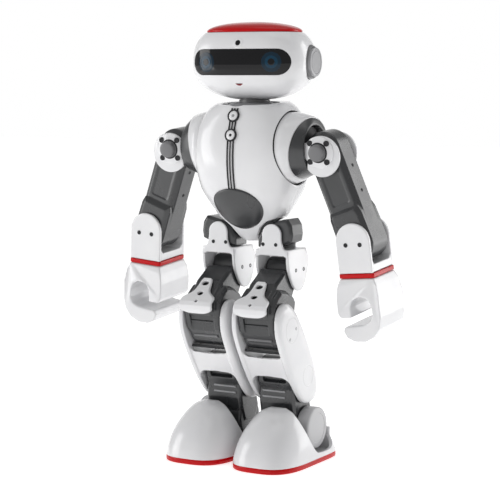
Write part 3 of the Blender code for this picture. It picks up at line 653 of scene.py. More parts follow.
def build_chest():
    bands = (
        ("rail_left", 2.15, 3.35, 0.85, "dark_line"), ("rail_right", -3.35, -2.15, 0.85, "dark_line"),
        ("base", -2.2, 2.2, 0.30, "grey_pale"), ("spine", -0.6, 0.5, 0.75, "dark_line"),
    )
    for name, left, right, lift, look in bands:
        nodes = ["chest_trim"] if name == "base" else []
        show(chest_band(left, right, lift, 233.5, 302.6), "chest_" + name, "torso", look, nodes)
    for number, z in enumerate((296.0, 280.0)):
        slope = (torso_front(0.0, z + 4.0) - torso_front(0.0, z - 4.0)) / 8.0
        spot = Matrix.Translation((0.0, torso_front(0.0, z), z)) @ Matrix.Rotation(-math.atan(slope), 4, "X")
        rim = [(5.5, 0.6), (5.5, -1.3), (5.25, -1.75), (4.75, -1.95), (4.35, -1.75), (4.2, -1.3), (4.2, 0.6)]
        show(skin(turned(rim, "Y", (0.0, 0.0), 64), spot, True), "chest_ring_%d" % (number + 1), "torso",
             "dark_line")
        face = [(4.25, 0.4), (4.25, -1.15), (3.9, -1.4), (2.2, -1.6), (1.5, -1.6), (1.25, -1.2), (0.3, -1.1)]
        show(skin(turned(face, "Y", (0.0, 0.0), 64), spot), "chest_stud_%d" % (number + 1), "torso",
             "white_shell")
        dot = [(1.15, 0.0), (1.15, -1.35), (0.8, -1.5), (0.2, -1.5)]
        show(skin(turned(dot, "Y", (0.0, 0.0), 32), spot), "chest_dot_%d" % (number + 1), "torso",
             "dark_line" if number else "grey_trim")

    sides = 96
    shares = [math.sin(math.pi / 2.0 * i / 18) for i in range(1, 19)]
    egg = []
    for lift, order in ((-0.4, shares), (1.9, list(reversed(shares)))):
        for share in order:
            edge = lift if lift < 0.0 else lift * (1.0 - share ** 22 * 0.75)
            ring = []
            for k in range(sides):
                angle = 2.0 * math.pi * (k + 0.5) / sides
                z = 217.5 + 17.8 * share * math.sin(angle)
                x = 23.0 * (1.0 + 0.14 * math.sin(angle)) * share * math.cos(angle)
                ring.append((x, torso_front(x, z) - edge, z))
            egg.append(ring)
    show(skin(egg), "belly_plate_form", "torso", "dark_body", ["belly_plate"])


def leaning(profile, sides=112):
    """Turned rings about X whose planes lean outwards at the top and the rear."""
    centre = (ARM_Y, SHOULDER_Z)
    leaned = []
    for ring, (_, _, share) in zip(turned([(r, x) for r, x, _ in profile], "X", centre, sides), profile):
        leaned.append([(x + 0.16 * share * (y - centre[0] + z - centre[1]), y, z) for x, y, z in ring])
    return leaned


def build_shoulder():
    sleeve = [
        (30.2, 36.5, 0.0), (30.3, 40.8, 0.0), (30.2, 42.4, 0.06), (29.8, 44.2, 0.2), (29.1, 46.6, 0.42),
        (28.2, 49.0, 0.66), (27.2, 51.4, 0.88), (26.7, 52.4, 0.97), (26.1, 52.9, 1.0), (25.2, 53.0, 1.0),
        (22.0, 53.0, 1.0), (22.0, 50.8, 1.0), (24.0, 50.8, 1.0), (27.8, 41.0, 0.0), (27.8, 36.5, 0.0),
    ]
    show_pair(skin(leaning(sleeve), loop=True), "shoulder_sleeve_form", "torso", "white_shell",
              ["shoulder_sleeve"])
    groove = []
    for radius, depth in ((31.75, 6.0), (31.75, 1.1), (30.2, 1.1), (30.2, 6.0)):
        ring = []
        for k in range(112):
            angle = 2.0 * math.pi * (k + 0.5) / 112
            y = ARM_Y + radius * math.cos(angle)
            z = SHOULDER_Z + radius * math.sin(angle)
            ring.append((min(torso_side(y, z), 42.5) - depth, y, z))
        groove.append(ring)
    show_pair(skin(groove, loop=True), "shoulder_groove", "torso", "dark_line")
    cup = [
        (25.5, 53.3, 1.0), (25.2, 54.2, 0.9), (23.6, 57.0, 0.5), (22.0, 59.6, 0.12), (21.5, 60.2, 0.0),
        (20.9, 60.5, 0.0), (20.2, 60.5, 0.0), (19.7, 60.2, 0.0), (20.4, 55.2, 1.0), (21.4, 53.3, 1.0),
    ]
    show_pair(skin(leaning(cup), loop=True), "shoulder_cup_form", "torso", "dark_body", ["shoulder_cup"])


def cap_loop(half_x, half_y, z):
    """One level outline of the crown lid."""
    turns = (2.0 * math.pi * (k + 0.5) / CAP_SIDES for k in range(CAP_SIDES))
    return [(*oval(turn, half_x, half_y, half_y, 2.6), z) for turn in turns]


def build_head():
    place = head_frame()

    def shell(y0, y1):
        made = skin(head_rings())
        holes = [
            skin(head_rings(*HEAD_HOLLOW)),
            skin(turned([(13.9, 300.0), (13.9, 320.0)], "Z", (0.0, 0.0))),
            block(-80, 80, y0, y1, 290, 390),
        ]
        for reach in (70.0, -70.0):
            holes.append(skin(turned([(14.6, reach * 0.5), (14.6, reach)], "X", EAR, 96)))
        return cut(made, *holes)

    rear = shell(-80.0, HEAD_SEAM + 0.04)
    put(rear, place)
    show(bevel(rear, 0.35), "head_rear_form", "head", "white_shell", ["head_shell_rear"])
    front = shell(HEAD_SEAM - 0.04, 80.0)
    window = stadium(*VISOR, centre=(0.0, HEAD_MID))
    cut(front, skin(prism(window, "Y", plain(-70.0, -2.0))))
    cut(front, skin(turned([(2.7, -60.0), (2.7, -5.0)], "Y", (0.0, SENSOR_Z), 48)))
    put(front, place)
    show(bevel(front, 0.35), "head_front_form", "head", "white_shell", ["head_shell_front"])

    visor = cut(skin(head_rings(-0.15)), skin(head_rings(WALL)))
    keep(visor, skin(prism(inset(window, 0.22), "Y", plain(-70.0, -4.0))))
    put(visor, place)
    show(bevel(visor, 0.25), "visor_form", "head", "black_visor", ["visor"])
    build_eyes(place)

    cap = []
    steps = 26
    for i in range(steps + 1):
        bend = math.pi / 2.0 * i / steps
        share = max(0.03, math.cos(bend)) ** 0.92
        z = CAP_EDGE_Z + CAP_RISE * math.sin(bend) ** 1.15
        cap.append(cap_loop(CAP_HALF[0] * share, CAP_HALF[1] * share, z))
    rim = [
        cap_loop(half, half * CAP_HALF[1] / CAP_HALF[0], z)
        for z, half in ((366.2, 40.6), (366.25, 41.2), (366.6, 41.55))
    ]
    show(skin(rim + cap, place), "head_cap_form", "head", "red_trim", ["head_cap"])

    ring = [(12.6, 44.0), (14.1, 44.0), (14.2, 50.6), (14.0, 52.0), (13.4, 52.9), (12.8, 53.1), (12.5, 52.6)]
    face = [
        (12.35, 50.0), (12.35, 54.6), (12.0, 55.3), (11.2, 55.6), (9.9, 55.6), (9.6, 55.35),
        (9.3, 55.35), (9.0, 55.6), (1.0, 55.75),
    ]
    for sign, tag in ((1.0, "left"), (-1.0, "right")):
        flip = place @ side_scale(sign)
        show(skin(turned(ring, "X", EAR, 96), flip, True), "ear_rim_" + tag, "head", "grey_rim")
        show(skin(turned(face, "X", EAR, 96), flip), "ear_face_" + tag, "head", "grey_trim", ["ear_" + tag])
    post = [(13.2, 299.0), (13.2, 309.2), (12.2, 309.6), (12.2, 311.6), (13.2, 312.0), (15.0, 313.4),
            (15.0, 315.6), (12.0, 315.6)]
    show(skin(turned(post, "Z", (0.0, 0.0), 96), place), "neck_post_form", "head", "grey_rim", ["neck_post"])


def put(piece, place):
    """Move a piece by a placement given in millimetres."""
    moved = place.copy()
    moved.translation = place.translation * MM
    piece.data.transform(moved)


def head_disc(name, x, z, radius, lift, look, place, thick=0.3, nodes=(), shape=1.0, sides=48):
    """Thin disc laid on the curved front of the head."""
    shares = [math.sin(math.pi / 2.0 * i / 8) for i in range(1, 9)]
    rings = []
    for height, order in ((lift - thick, shares), (lift, list(reversed(shares)))):
        for share in order:
            ring = []
            for k in range(sides):
                angle = 2.0 * math.pi * (k + 0.5) / sides
                px = x + radius * shape * share * math.cos(angle)
                pz = z + radius * share * math.sin(angle)
                edge = height - (0.6 * thick * share ** 14 if height == lift else 0.0)
                ring.append((px, head_front(px, pz) - edge, pz))
            rings.append(ring)
    show(skin(rings, place), name, "head", look, nodes)


def build_eyes(place):
    for sign, tag in ((1.0, "left"), (-1.0, "right")):
        head_disc("eye_halo_" + tag, sign * EYE[0], EYE[1], 8.6, 0.20, "eye_halo", place, 0.12)
        head_disc("eye_core_" + tag, sign * EYE[0], EYE[1], 5.4, 0.26, "eye_core", place, 0.12)
        head_disc("eye_pupil_" + tag, sign * EYE[0], EYE[1], 2.9, 0.32, "black_visor", place, 0.12)
    head_disc("sensor_bezel", 0.0, SENSOR_Z - 0.1, 4.3, 0.35, "white_shell", place, 0.6, shape=1.1)
    head_disc("sensor_glass", 0.0, SENSOR_Z, 2.4, 0.55, "black_visor", place, 0.5, ["forehead_sensor"])
    smile = arc((0.0, 325.4), 4.1, 200.0, 340.0, 22) + arc((0.0, 328.6), 5.9, 312.0, 228.0, 22)
    face = head_front(0.0, 322.6)
    lips = skin(prism(smile, "Y", rounded(face - 0.35, face + 2.0, 0.25, 3)))
    put(lips, place)
    show(lips, "mouth_form", "head", "mouth_red", ["mouth_insert"])


def build_arm():
    # The stalk and its disc are dark grey, though they belong to the white yoke: painted shade for the dark
    # inside of the shoulder cup.
    stalk = [(6.0, 48.0), (6.0, 53.5), (17.6, 53.5), (18.2, 54.0), (18.2, 56.0), (17.8, 56.4), (1.0, 56.4)]
    show_pair(skin(turned(stalk, "X", (ARM_Y, SHOULDER_Z)), arm_frame()), "shoulder_stalk_painted_shade", "shoulder",
              "dark_line")
    disc = arc((74.4, 264.5), 17.2, 220.0, 500.0, 72)
    plate = [(54.5, 262.4), (61.4, 262.4)] + disc + [(61.4, 275.6), (54.5, 275.6)]
    for name, lo, hi in (("front", -8.0, -5.8), ("rear", 23.8, 26.0)):
        side = skin(prism(plate, "Y", rounded(lo, hi, 0.7)), arm_frame())
        nodes = ["shoulder_yoke"] if name == "front" else []
        show_pair(side, "shoulder_plate_" + name, "shoulder", "white_shell", nodes)

    centre = (ROLL_X, SHOULDER_Z - 1.0)
    collar = [
        (13.4, -7.9), (13.4, -8.9), (12.9, -9.3), (11.2, -9.6), (9.4, -10.3), (8.6, -10.5), (7.2, -10.5),
    ]
    show_pair(skin(turned(collar, "Y", centre), arm_frame()), "shoulder_hub_form", "shoulder", "white_shell",
              ["shoulder_hub"])
    knob = [(7.3, -10.0), (7.3, -11.2), (6.9, -11.5), (6.9, -14.4), (6.7, -15.1), (6.1, -15.5), (5.2, -15.6),
            (1.0, -15.65)]
    show_pair(skin(turned(knob, "Y", centre), arm_frame()), "shoulder_knob", "shoulder", "grey_rim")
    band = [(8.5, -9.9), (8.5, -10.75), (8.2, -10.95), (7.5, -10.95), (7.3, -10.6), (7.3, -9.9)]
    show_pair(skin(turned(band, "Y", centre), arm_frame(), True), "shoulder_band", "shoulder", "dark_line")
    for k in range(4):
        angle = math.radians(45.0 + 90.0 * k)
        x = centre[0] + 10.9 * math.cos(angle)
        z = centre[1] + 10.9 * math.sin(angle)
        spot = arm_frame() @ facing((x, -10.2, z), (0.0, -1.0, 0.0))
        show_pair(screw(2.45, spot), "hub_screw_%d" % (k + 1), "shoulder", "dark_line")

    limb = limb_frame(ROLL_X, SHOULDER_Z, UPPER_TILT)
    top = arc((0.0, 0.0), 15.6, 0.0, 180.0)
    shape = top + [(-15.6, -30.0), (-15.6, -UPPER_LENGTH), (15.6, -UPPER_LENGTH), (15.6, -30.0)]
    upper = skin(prism(shape, "Y", [(-13.6, 4.2), (-9.6, 0.0), (9.6, 0.0), (13.6, 4.2)]))
    low = arc((0.0, -UPPER_LENGTH), 15.8, 180.0, 360.0)
    elbow = [(15.3, -58.0), (13.5, -52.0), (-13.5, -52.0), (-15.3, -58.0)]
    levels = [(-16.9, 3.6), (-13.9, 0.0), (13.9, 0.0), (16.9, 3.6)]
    join(upper, skin(prism(low + elbow, "Y", levels)))
    panel = rectangle(-8.6, 8.6, -48.0, -14.0, 2.4)
    for t0, t1 in ((-20.0, -13.1), (13.1, 20.0)):
        cut(upper, skin(prism(panel, "Y", plain(t0, t1))))
    cut(upper, skin(turned([(9.2, -20.0), (9.2, -14.6)], "Y", (0.0, -UPPER_LENGTH))))
    mould(upper, 4)
    put(upper, limb)
    show_pair(upper, "upper_arm_form", "upper_arm", "dark_body", ["upper_arm"])
    for name, w in (("upper_arm_screw_top", -20.0), ("upper_arm_screw_low", -42.0)):
        for tag, x in (("inner", -15.5), ("outer", 15.5)):
            spot = limb @ facing((x, 0.0, w), (math.copysign(1.0, x), 0.0, 0.0))
            show_pair(screw(1.5, spot), name + "_" + tag, "upper_arm", "dark_line")

    build_forearm()


def build_forearm():
    ex, ez = elbow_point()
    fore = limb_frame(ex, ez, FOREARM_TILT)
    side = [(15.5, -24.0)] + arc((0.0, 2.5), 15.5, 0.0, 180.0, 48) + [(-15.5, -24.0)]
    bracket = skin(prism(side, "Y", plain(-20.3, -17.3)))
    join(bracket, skin(prism(side, "Y", plain(17.3, 20.3))), block(-15.2, 15.2, -19.0, 19.0, -23.8, -17.4))
    for y0, y1 in ((-17.6, -13.0), (13.0, 17.6)):
        fillet = [(y0, -18.0), (y1, -18.0), (y0 if y0 < 0.0 else y1, -13.4)]
        join(bracket, skin(prism(fillet, "X", plain(-15.1, 15.1))))
    mould(bracket, 5)
    put(bracket, fore)
    show_pair(bracket, "forearm_bracket_form", "forearm", "white_shell", ["forearm_bracket"])
    for way, tag in ((-6.5, "inner"), (6.5, "outer")):
        for y, face in ((-20.25, "front"), (20.25, "rear")):
            spot = fore @ facing((way, y, 0.0), (0.0, math.copysign(1.0, y), 0.0))
            show_pair(screw(1.9, spot), "forearm_screw_%s_%s" % (tag, face), "forearm", "dark_line")
    horn = turned([(8.5, -14.9), (8.5, -16.6), (8.2, -17.0), (1.0, -17.0)], "Y", (0.0, 0.0))
    show_pair(skin(horn, fore), "elbow_horn_form", "forearm", "steel_horn", ["elbow_horn"])
    band = skin(prism(rectangle(-16.0, 16.0, -20.6, 20.6, 2.2), "Z", rounded(-27.9, -24.2, 0.5)), fore)
    show_pair(band, "wrist_band_form", "forearm", "red_trim", ["wrist_band"])

    hook = [
        (-15.6, -28.25), (15.6, -28.25), (18.2, -34.0), (19.8, -44.0), (20.0, -61.0), (17.8, -70.5),
        (12.0, -77.5), (3.5, -81.2), (-6.0, -81.0), (-13.0, -77.4), (-15.8, -71.6), (-13.6, -68.0),
        (-7.0, -67.6), (-2.0, -67.2), (5.0, -66.4), (10.2, -64.0), (12.6, -59.0), (12.6, -52.0),
        (10.2, -46.6), (5.4, -43.6), (0.4, -43.6), (-4.6, -46.2), (-7.0, -51.0), (-7.0, -60.8),
        (-16.8, -60.8), (-19.4, -57.0), (-19.4, -44.0), (-18.0, -34.0),
    ]
    rings = prism(hook, "Y", plain(-24.2, 24.2))
    shaped = []
    for ring in rings:
        fresh = []
        for u, v, w in ring:
            share = min(1.0, max(0.0, (-28.0 - w) / 15.0))
            fresh.append((u, v * (0.85 + 0.15 * math.sin(share * math.pi / 2.0)), w))
        shaped.append(fresh)
    hand = mould(skin(shaped), 16, 0.7 * MM)
    cut(hand, block(-30, 30, -40, 40, -28.25, 0))
    put(hand, fore)
    show_pair(hand, "hand_form", "forearm", "white_shell", ["hand"])


def side_prism(outline, lo, hi, edge=0.0):
    """Prism of a (y, z) outline across the left leg, by offsets from its middle."""
    levels = rounded(LEG_X + lo, LEG_X + hi, edge) if edge else plain(LEG_X + lo, LEG_X + hi)
    return skin(prism(outline, "X", levels))


def side_screw(name, body, y, z, offset, radius=1.5, look="dark_line"):
    spot = facing((LEG_X + offset, y, z), (math.copysign(1.0, offset), 0.0, 0.0))
    show_pair(screw(radius, spot), name, body, look)


def build_hip():
    housing = [
        (11.0, 184.3), (28.0, 184.3), (36.0, 186.9), (43.6, 190.0), (44.6, 196.0), (43.6, 204.0),
        (40.0, 209.4), (34.5, 208.6), (28.0, 206.8), (20.5, 204.4), (14.8, 199.2), (11.0, 192.6),
    ]
    shape = mould(skin(prism(housing, "Y", [(-3.0, 2.0), (-1.0, 0.0), (17.0, 0.0), (19.0, 2.0)])), 4)
    show_pair(shape, "hip_housing_form", "torso", "dark_body", ["hip_housing"])

    flare = [(16.0, 176.6), (15.8, 179.0), (13.6, 182.0), (10.8, 185.2), (9.3, 190.0)]
    stone = [(LEG_X + x, z) for x, z in flare] + arc((LEG_X, 196.0), 9.0, 0.0, 180.0)
    stone += [(LEG_X - x, z) for x, z in reversed(flare)]
    stone += [(LEG_X - 13.0, 177.4), (LEG_X - 10.0, 178.6), (LEG_X + 10.0, 178.6), (LEG_X + 13.0, 177.4)]
    tail = [(LEG_X + 9.0, 180.5)] + arc((LEG_X, 196.0), 9.0, 0.0, 180.0) + [(LEG_X - 9.0, 180.5)]
    yoke = block(LEG_X - 15.8, LEG_X + 15.8, -5.7, 28.0, 178.2, 183.2)
    cheek = soften([
        (-5.6, 182.4), (-5.4, 172.0), (-3.2, 163.5), (3.0, 153.5), (8.0, 148.6), (13.8, 146.6),
        (19.5, 147.6), (24.0, 151.5), (28.0, 159.5), (30.8, 169.0), (31.0, 175.0), (28.5, 179.5),
        (24.0, 182.0), (16.0, 183.0),
    ], 2)
    join(yoke, skin(prism(stone, "Y", plain(-6.1, -3.4))), skin(prism(tail, "Y", plain(19.4, 22.0))),
         side_prism(cheek, 13.5, 16.1), side_prism(cheek, -16.1, -13.5))
    mould(yoke, 7)
    show_pair(yoke, "hip_yoke_form", "hip", "white_shell", ["hip_yoke"])
    for number, x in enumerate((-8.0, 4.4)):
        spot = facing((LEG_X + x, -6.0, 187.5), (0.0, -1.0, 0.0))
        show_pair(screw(1.6, spot), "hip_front_screw_%d" % (number + 1), "hip", "dark_line")
    for number, x in enumerate((-5.0, 5.0)):
        spot = facing((LEG_X + x, 21.9, 190.0), (0.0, 1.0, 0.0))
        show_pair(screw(1.6, spot), "hip_rear_screw_%d" % (number + 1), "hip", "dark_line")
    for number, way in enumerate((-6.85, 6.85)):
        side_screw("hip_side_screw_%d" % (number + 1), "hip", HIP[0] + way, HIP[1], 15.9, 1.7)
        side_screw("hip_inner_screw_%d" % (number + 1), "hip", HIP[0] + way, HIP[1], -15.9, 1.7)
    horn = [(8.5, LEG_X + 11.1), (8.5, LEG_X + 12.9), (8.2, LEG_X + 13.2), (1.0, LEG_X + 13.2)]
    show_pair(skin(turned(horn, "X", HIP)), "hip_horn_form", "hip", "steel_horn", ["hip_horn"])


def build_thigh():
    crown = arc(HIP, 10.5, 0.0, 180.0)
    below = [(-30.4, 115.0)] + arc(KNEE, 14.5, 205.0, 352.0, 30) + [(4.4, 113.5), (4.4, 122.0)]
    core = crown + [
        (-3.4, 166.2), (-12.0, 160.6), (-20.6, 155.6), (-24.3, 150.9), (-33.1, 143.3), (-39.9, 137.4),
        (-40.3, 135.8), (-39.5, 133.6), (-37.6, 130.2), (-33.8, 124.5),
    ] + [(y + 0.6, z + 0.8) for y, z in below] + [(5.6, 132.0), (9.0, 142.0), (14.0, 150.0), (20.0, 157.0)]
    levels = [(LEG_X - 13.1, 2.2), (LEG_X - 11.0, 0.0), (LEG_X + 11.0, 0.0), (LEG_X + 13.1, 2.2)]
    thigh = skin(prism(core, "X", levels))
    wide = [
        (6.4, 139.0), (3.0, 143.5), (-8.0, 149.0), (-20.0, 151.0), (-28.0, 145.3), (-33.0, 138.5),
        (-34.0, 132.0), (-33.2, 124.5),
    ] + below + [(5.0, 132.0)]
    levels = [(LEG_X - 18.0, 2.4), (LEG_X - 15.6, 0.0), (LEG_X + 15.6, 0.0), (LEG_X + 18.0, 2.4)]
    join(thigh, skin(prism(wide, "X", levels)))
    for lo, hi in ((10.7, 30.0), (-30.0, -10.7)):
        cut(thigh, skin(turned([(9.2, LEG_X + lo), (9.2, LEG_X + hi)], "X", HIP)))
    for lo, hi in ((15.7, 19.0), (-19.0, -15.7)):
        cut(thigh, skin(turned([(9.2, LEG_X + lo), (9.2, LEG_X + hi)], "X", KNEE)))
    mouth = [(-50.0, 127.0), (-30.6, 127.0), (-28.6, 113.0), (-22.0, 104.6), (-40.0, 96.0)]
    cut(thigh, side_prism(mouth, -11.5, 11.5))
    cut(thigh, side_prism([(-9.0, 99.9), (-2.6, 102.0), (-2.0, 96.0), (-9.0, 96.0)], -11.5, 11.5))
    mould(thigh, 3)
    show_pair(thigh, "thigh_form", "thigh", "dark_body", ["thigh"])
    # The upper rib has the dark body colour; the lower rib's lighter grey is a painted highlight along the
    # bar under the knee.
    for z, y, look in ((121.0, -29.6, "dark_body"), (108.4, -24.9, "grey_rim")):
        rib = side_prism(arc((y, z), 1.3, 0.0, 360.0, 23)[:-1], -11.6, 11.6)
        show_pair(rib, "thigh_rib_%d" % z, "thigh", look)

    cap = [
        (-22.6, 158.0), (-26.6, 153.6), (-35.3, 145.9), (-42.3, 139.9), (-44.0, 136.5), (-43.4, 132.5),
        (-41.6, 129.6), (-39.2, 128.4), (-38.6, 130.2), (-40.4, 133.4), (-41.1, 136.0), (-40.8, 138.1),
        (-33.8, 144.2), (-25.0, 151.7), (-21.4, 156.2),
    ]
    kneecap = side_prism(cap, -15.6, 15.6)
    half_bell = [(3.0, 158.4), (5.2, 155.4), (6.0, 150.6), (7.6, 147.0), (11.4, 144.9), (15.4, 142.8),
                 (16.6, 138.4), (16.2, 134.6), (14.0, 131.4), (9.0, 129.6), (3.0, 129.0)]
    bell = soften([(LEG_X + x, z) for x, z in half_bell] + [(LEG_X - x, z) for x, z in reversed(half_bell)])
    keep(kneecap, skin(prism(bell, "Y", plain(-60.0, -10.0))))
    slope = (0.0, -0.677, 0.736)
    holes = ((-26.4, 153.7, 2.5, 1.3), (-35.0, 146.2, 2.3, 1.25), (-42.0, 140.6, 1.35, 1.05))
    for y, z, radius, wide in holes:
        spot = facing((LEG_X, y, z), slope) @ Matrix.Scale(wide, 4, (1.0, 0.0, 0.0))
        cut(kneecap, skin(turned([(radius, -6.0), (radius, 6.0)], "Y", (0.0, 0.0), 40), spot))
    mould(kneecap, 3, 0.4 * MM)
    show_pair(kneecap, "kneecap_form", "thigh", "white_shell", ["kneecap"])


def build_shin():
    blade = soften([
        (-34.6, 124.0), (-31.6, 108.5), (-11.2, 75.0), (4.0, 56.4), (14.5, 48.6), (32.0, 50.6),
        (36.0, 66.0), (25.8, 90.4), (3.0, 124.4), (-10.8, 138.0), (-21.5, 141.2), (-31.5, 136.0),
    ], 3)
    dome = [(18.6, 0.0), (21.8, 0.0), (22.7, 0.5), (23.4, 1.5), (23.9, 3.2), (24.1, 5.5), (24.2, 8.0)]
    shin = skin(prism(blade, "X", [(LEG_X + t, c) for t, c in dome]))
    inner = skin(prism(blade, "X", [(LEG_X - t, c) for t, c in dome]))
    bar = [
        (-26.6, 103.0), (-20.4, 92.4), (-12.4, 79.4), (-4.6, 67.6), (-1.2, 69.6), (-7.4, 78.6),
        (-16.4, 93.6), (-22.6, 104.6),
    ]
    saddle = side_prism(bar, -20.0, 20.0)
    ends = (
        [(LEG_X + 20.0, 100.0)] + arc((LEG_X + 13.6, 97.6), 5.0, 8.0, -90.0, 10)
        + [(LEG_X, 92.0)] + arc((LEG_X - 13.6, 97.6), 5.0, 270.0, 172.0, 10)
        + [(LEG_X - 20.0, 100.0), (LEG_X - 20.0, 66.0)]
        + arc((LEG_X - 11.0, 67.0), 7.4, 182.0, 90.0, 10) + [(LEG_X, 75.0)]
        + arc((LEG_X + 11.0, 67.0), 7.4, 90.0, -2.0, 10)
        + [(LEG_X + 20.0, 66.0)]
    )
    keep(saddle, skin(prism(ends, "Y", plain(-60.0, 40.0))))
    join(shin, saddle, inner)
    mould(shin, 6)
    show_pair(shin, "shin_frame_form", "shin", "white_shell", ["shin_frame"])
    cradle = arc(KNEE, 16.6, 243.0, 313.0, 24) + arc(KNEE, 18.4, 313.0, 243.0, 24)
    show_pair(side_prism(cradle, -18.4, 18.4, 0.4), "knee_cradle", "shin", "dark_body")
    spread = (5.2, 4.1)
    for number, way in enumerate((-1.0, 1.0)):
        y, z = KNEE[0] + spread[0] * way, KNEE[1] + spread[1] * way
        side_screw("knee_screw_%d" % (number + 1), "shin", y, z, 23.9, 1.4, "grey_trim")
        side_screw("knee_inner_screw_%d" % (number + 1), "shin", y, z, -23.9, 1.4, "grey_trim")
    for name, centre, radius in (("knee_disc", (-12.5, 117.0), 11.0), ("ankle_disc", (16.0, 74.0), 9.5)):
        for sign, tag in ((1.0, "outer"), (-1.0, "inner")):
            rim = [(radius, 23.4), (radius, 24.18), (radius - 0.5, 24.36), (radius - 1.0, 24.18),
                   (radius - 1.0, 23.4)]
            rings = turned([(r, LEG_X + sign * t) for r, t in rim], "X", centre)
            show_pair(skin(rings, loop=True), "%s_%s" % (name, tag), "shin", "white_shell")
    horn = [(8.5, LEG_X + 16.2), (8.5, LEG_X + 18.0), (8.2, LEG_X + 18.25), (1.0, LEG_X + 18.25)]
    show_pair(skin(turned(horn, "X", KNEE)), "knee_horn_form", "shin", "steel_horn", ["knee_horn"])


def build_ankle():
    neck = arc(ANKLE, 14.0, 0.0, 180.0) + [
        (0.0, 68.0), (2.8, 62.0), (2.8, 50.0), (5.0, 40.0), (10.0, 28.0), (30.0, 28.0), (36.0, 40.0),
        (32.0, 54.0), (27.5, 66.0),
    ]
    levels = [(LEG_X - 17.5, 2.4), (LEG_X - 15.2, 0.0), (LEG_X + 15.2, 0.0), (LEG_X + 17.5, 2.4)]
    made = skin(prism(neck, "X", levels))
    barrel = turned([(16.0, 10.0), (17.5, 11.5), (17.5, 44.2)], "X", (21.0, 31.0))
    axle = turned([(3.2, -8.6), (3.2, 45.3)], "Y", (FOOT_X, ANKLE_ROLL_Z), 40)
    shaft = turned([(14.5, 40.0), (14.5, 52.0)], "X", (22.5, 28.0))
    join(made, skin(barrel), skin(axle), skin(shaft))
    window = soften([(-20.0, 84.0), (2.0, 84.0), (3.4, 66.0), (-20.0, 66.0)])
    cut(made, side_prism(window, -11.0, 11.0))
    mould(made, 4)
    show_pair(made, "ankle_block_form", "ankle", "dark_body", ["ankle_block"])
    # The drum is part of the dark ankle block; its pale grey is painted light, the side light falling on
    # that block.
    drum = [(14.6, 44.5), (17.2, 44.6), (17.9, 45.3), (18.0, 46.0), (18.0, 54.9), (17.7, 55.8), (17.0, 56.4),
            (16.0, 56.6), (13.0, 56.6), (12.7, 56.3), (1.0, 56.3)]
    show_pair(skin(turned(drum, "X", (22.5, 28.0), 96)), "ankle_drum_painted_light", "ankle", "grey_pale")
    for z in (54.4, 59.6):
        rib = side_prism(rectangle(1.6, 4.0, z, z + 1.7, 0.6, 3), -13.0, 9.0, 0.4)
        show_pair(rib, "ankle_rib_%d" % z, "ankle", "grey_trim")


def foot_ring(z, half, toe, heel, front_power, rear_power, shrink=0.0, sides=128):
    ring = []
    for k in range(sides):
        angle = 2.0 * math.pi * k / sides
        power = rear_power if math.sin(angle) > 0.0 else front_power
        x, y = oval(angle, half - shrink, toe - 5.0 - shrink, heel + 5.0 - shrink, power)
        ring.append((FOOT_X + x, y - 5.0, z))
    return ring


def build_foot():
    rows = (
        (4.75, 31.0, 49.6, 49.6, 3.0, 9.0), (12.0, 30.6, 48.2, 49.4, 2.8, 6.0),
        (20.0, 29.4, 44.8, 48.8, 2.6, 4.0), (28.0, 27.0, 39.6, 47.8, 2.4, 3.0),
        (35.0, 23.6, 33.4, 46.0, 2.2, 2.6), (41.0, 19.2, 26.5, 44.0, 2.1, 2.4),
        (45.5, 14.0, 19.4, 42.0, 2.0, 2.2), (48.4, 7.0, 12.5, 40.0, 2.0, 2.0),
    )
    heights = [4.75 + (48.4 - 4.75) * math.sin(math.pi / 2.0 * i / 40) for i in range(41)]
    rings = [foot_ring(z, *blend_rows(rows, z)) for z in heights]
    hollow = [foot_ring(6.4, *rows[0][1:], 2.4)]
    hollow += [foot_ring(z - 1.3, *blend_rows(rows, z), 2.4) for z in heights if 9.0 < z < 46.0]
    opening = [
        (-70.0, -10.0), (-70.0, 60.0), (-5.0, 60.0), (-4.8, 49.6), (-6.6, 45.6), (-7.4, 41.0), (-6.4, 33.0),
        (-3.0, 24.0), (3.0, 14.0), (8.0, 9.8), (14.0, 8.8), (31.0, 8.4), (38.0, 11.0), (41.5, 19.0),
        (43.4, 26.0), (46.4, 28.0), (60.0, 28.0), (60.0, -10.0),
    ]
    shell = cut(skin(rings), skin(hollow))
    keep(shell, skin(prism(soften(opening, 2), "X", plain(-5.0, 75.0))))
    show_pair(bevel(shell, 0.6, 3), "foot_shell_form", "foot", "white_shell", ["foot_shell"])
    # The posts and the heel wall take the darker white: painted shade inside the foot.
    for name, y0, y1, top in (("front", -9.4, -4.6, 27.6), ("rear", 42.4, 46.6, 26.4)):
        post = skin(prism(rectangle(y0, y1, 5.6, top, 1.6), "X", rounded(FOOT_X - 8.5, FOOT_X + 8.5, 0.7)))
        bore = skin(turned([(3.65, -20.0), (3.65, 45.7)], "Y", (FOOT_X, ANKLE_ROLL_Z), 48))
        show_pair(cut(post, bore), "foot_post_" + name, "foot", "white_satin_painted_shade")
    wall = block(9.0, 58.0, 41.2, 43.4, 5.8, 25.5, 0.8)
    show_pair(wall, "foot_heel_wall", "foot", "white_satin_painted_shade")
    sole = [(0.0, 30.0, 48.6), (0.25, 30.6, 49.2), (0.8, 31.0, 49.6), (4.2, 31.0, 49.6), (4.6, 30.8, 49.4),
            (4.75, 30.4, 49.0)]
    rings = [foot_ring(z, half, reach, reach, 3.0, 9.0) for z, half, reach in sole]
    show_pair(skin(rings), "foot_sole_form", "foot", "red_trim", ["foot_sole"])


def dress_inner_nodes():
    """Inner CAD solids stay as they are, with a finished material."""
    looks = {
        "torso_chassis": "dark_body", "battery_pack": "battery_wrap",
        "shoulder_servo_left": "dark_body", "shoulder_servo_right": "dark_body",
    }
    for name, look in looks.items():
        node = frame["nodes"][name]
        node.data.materials.clear()
        node.data.materials.append(look_material(look))


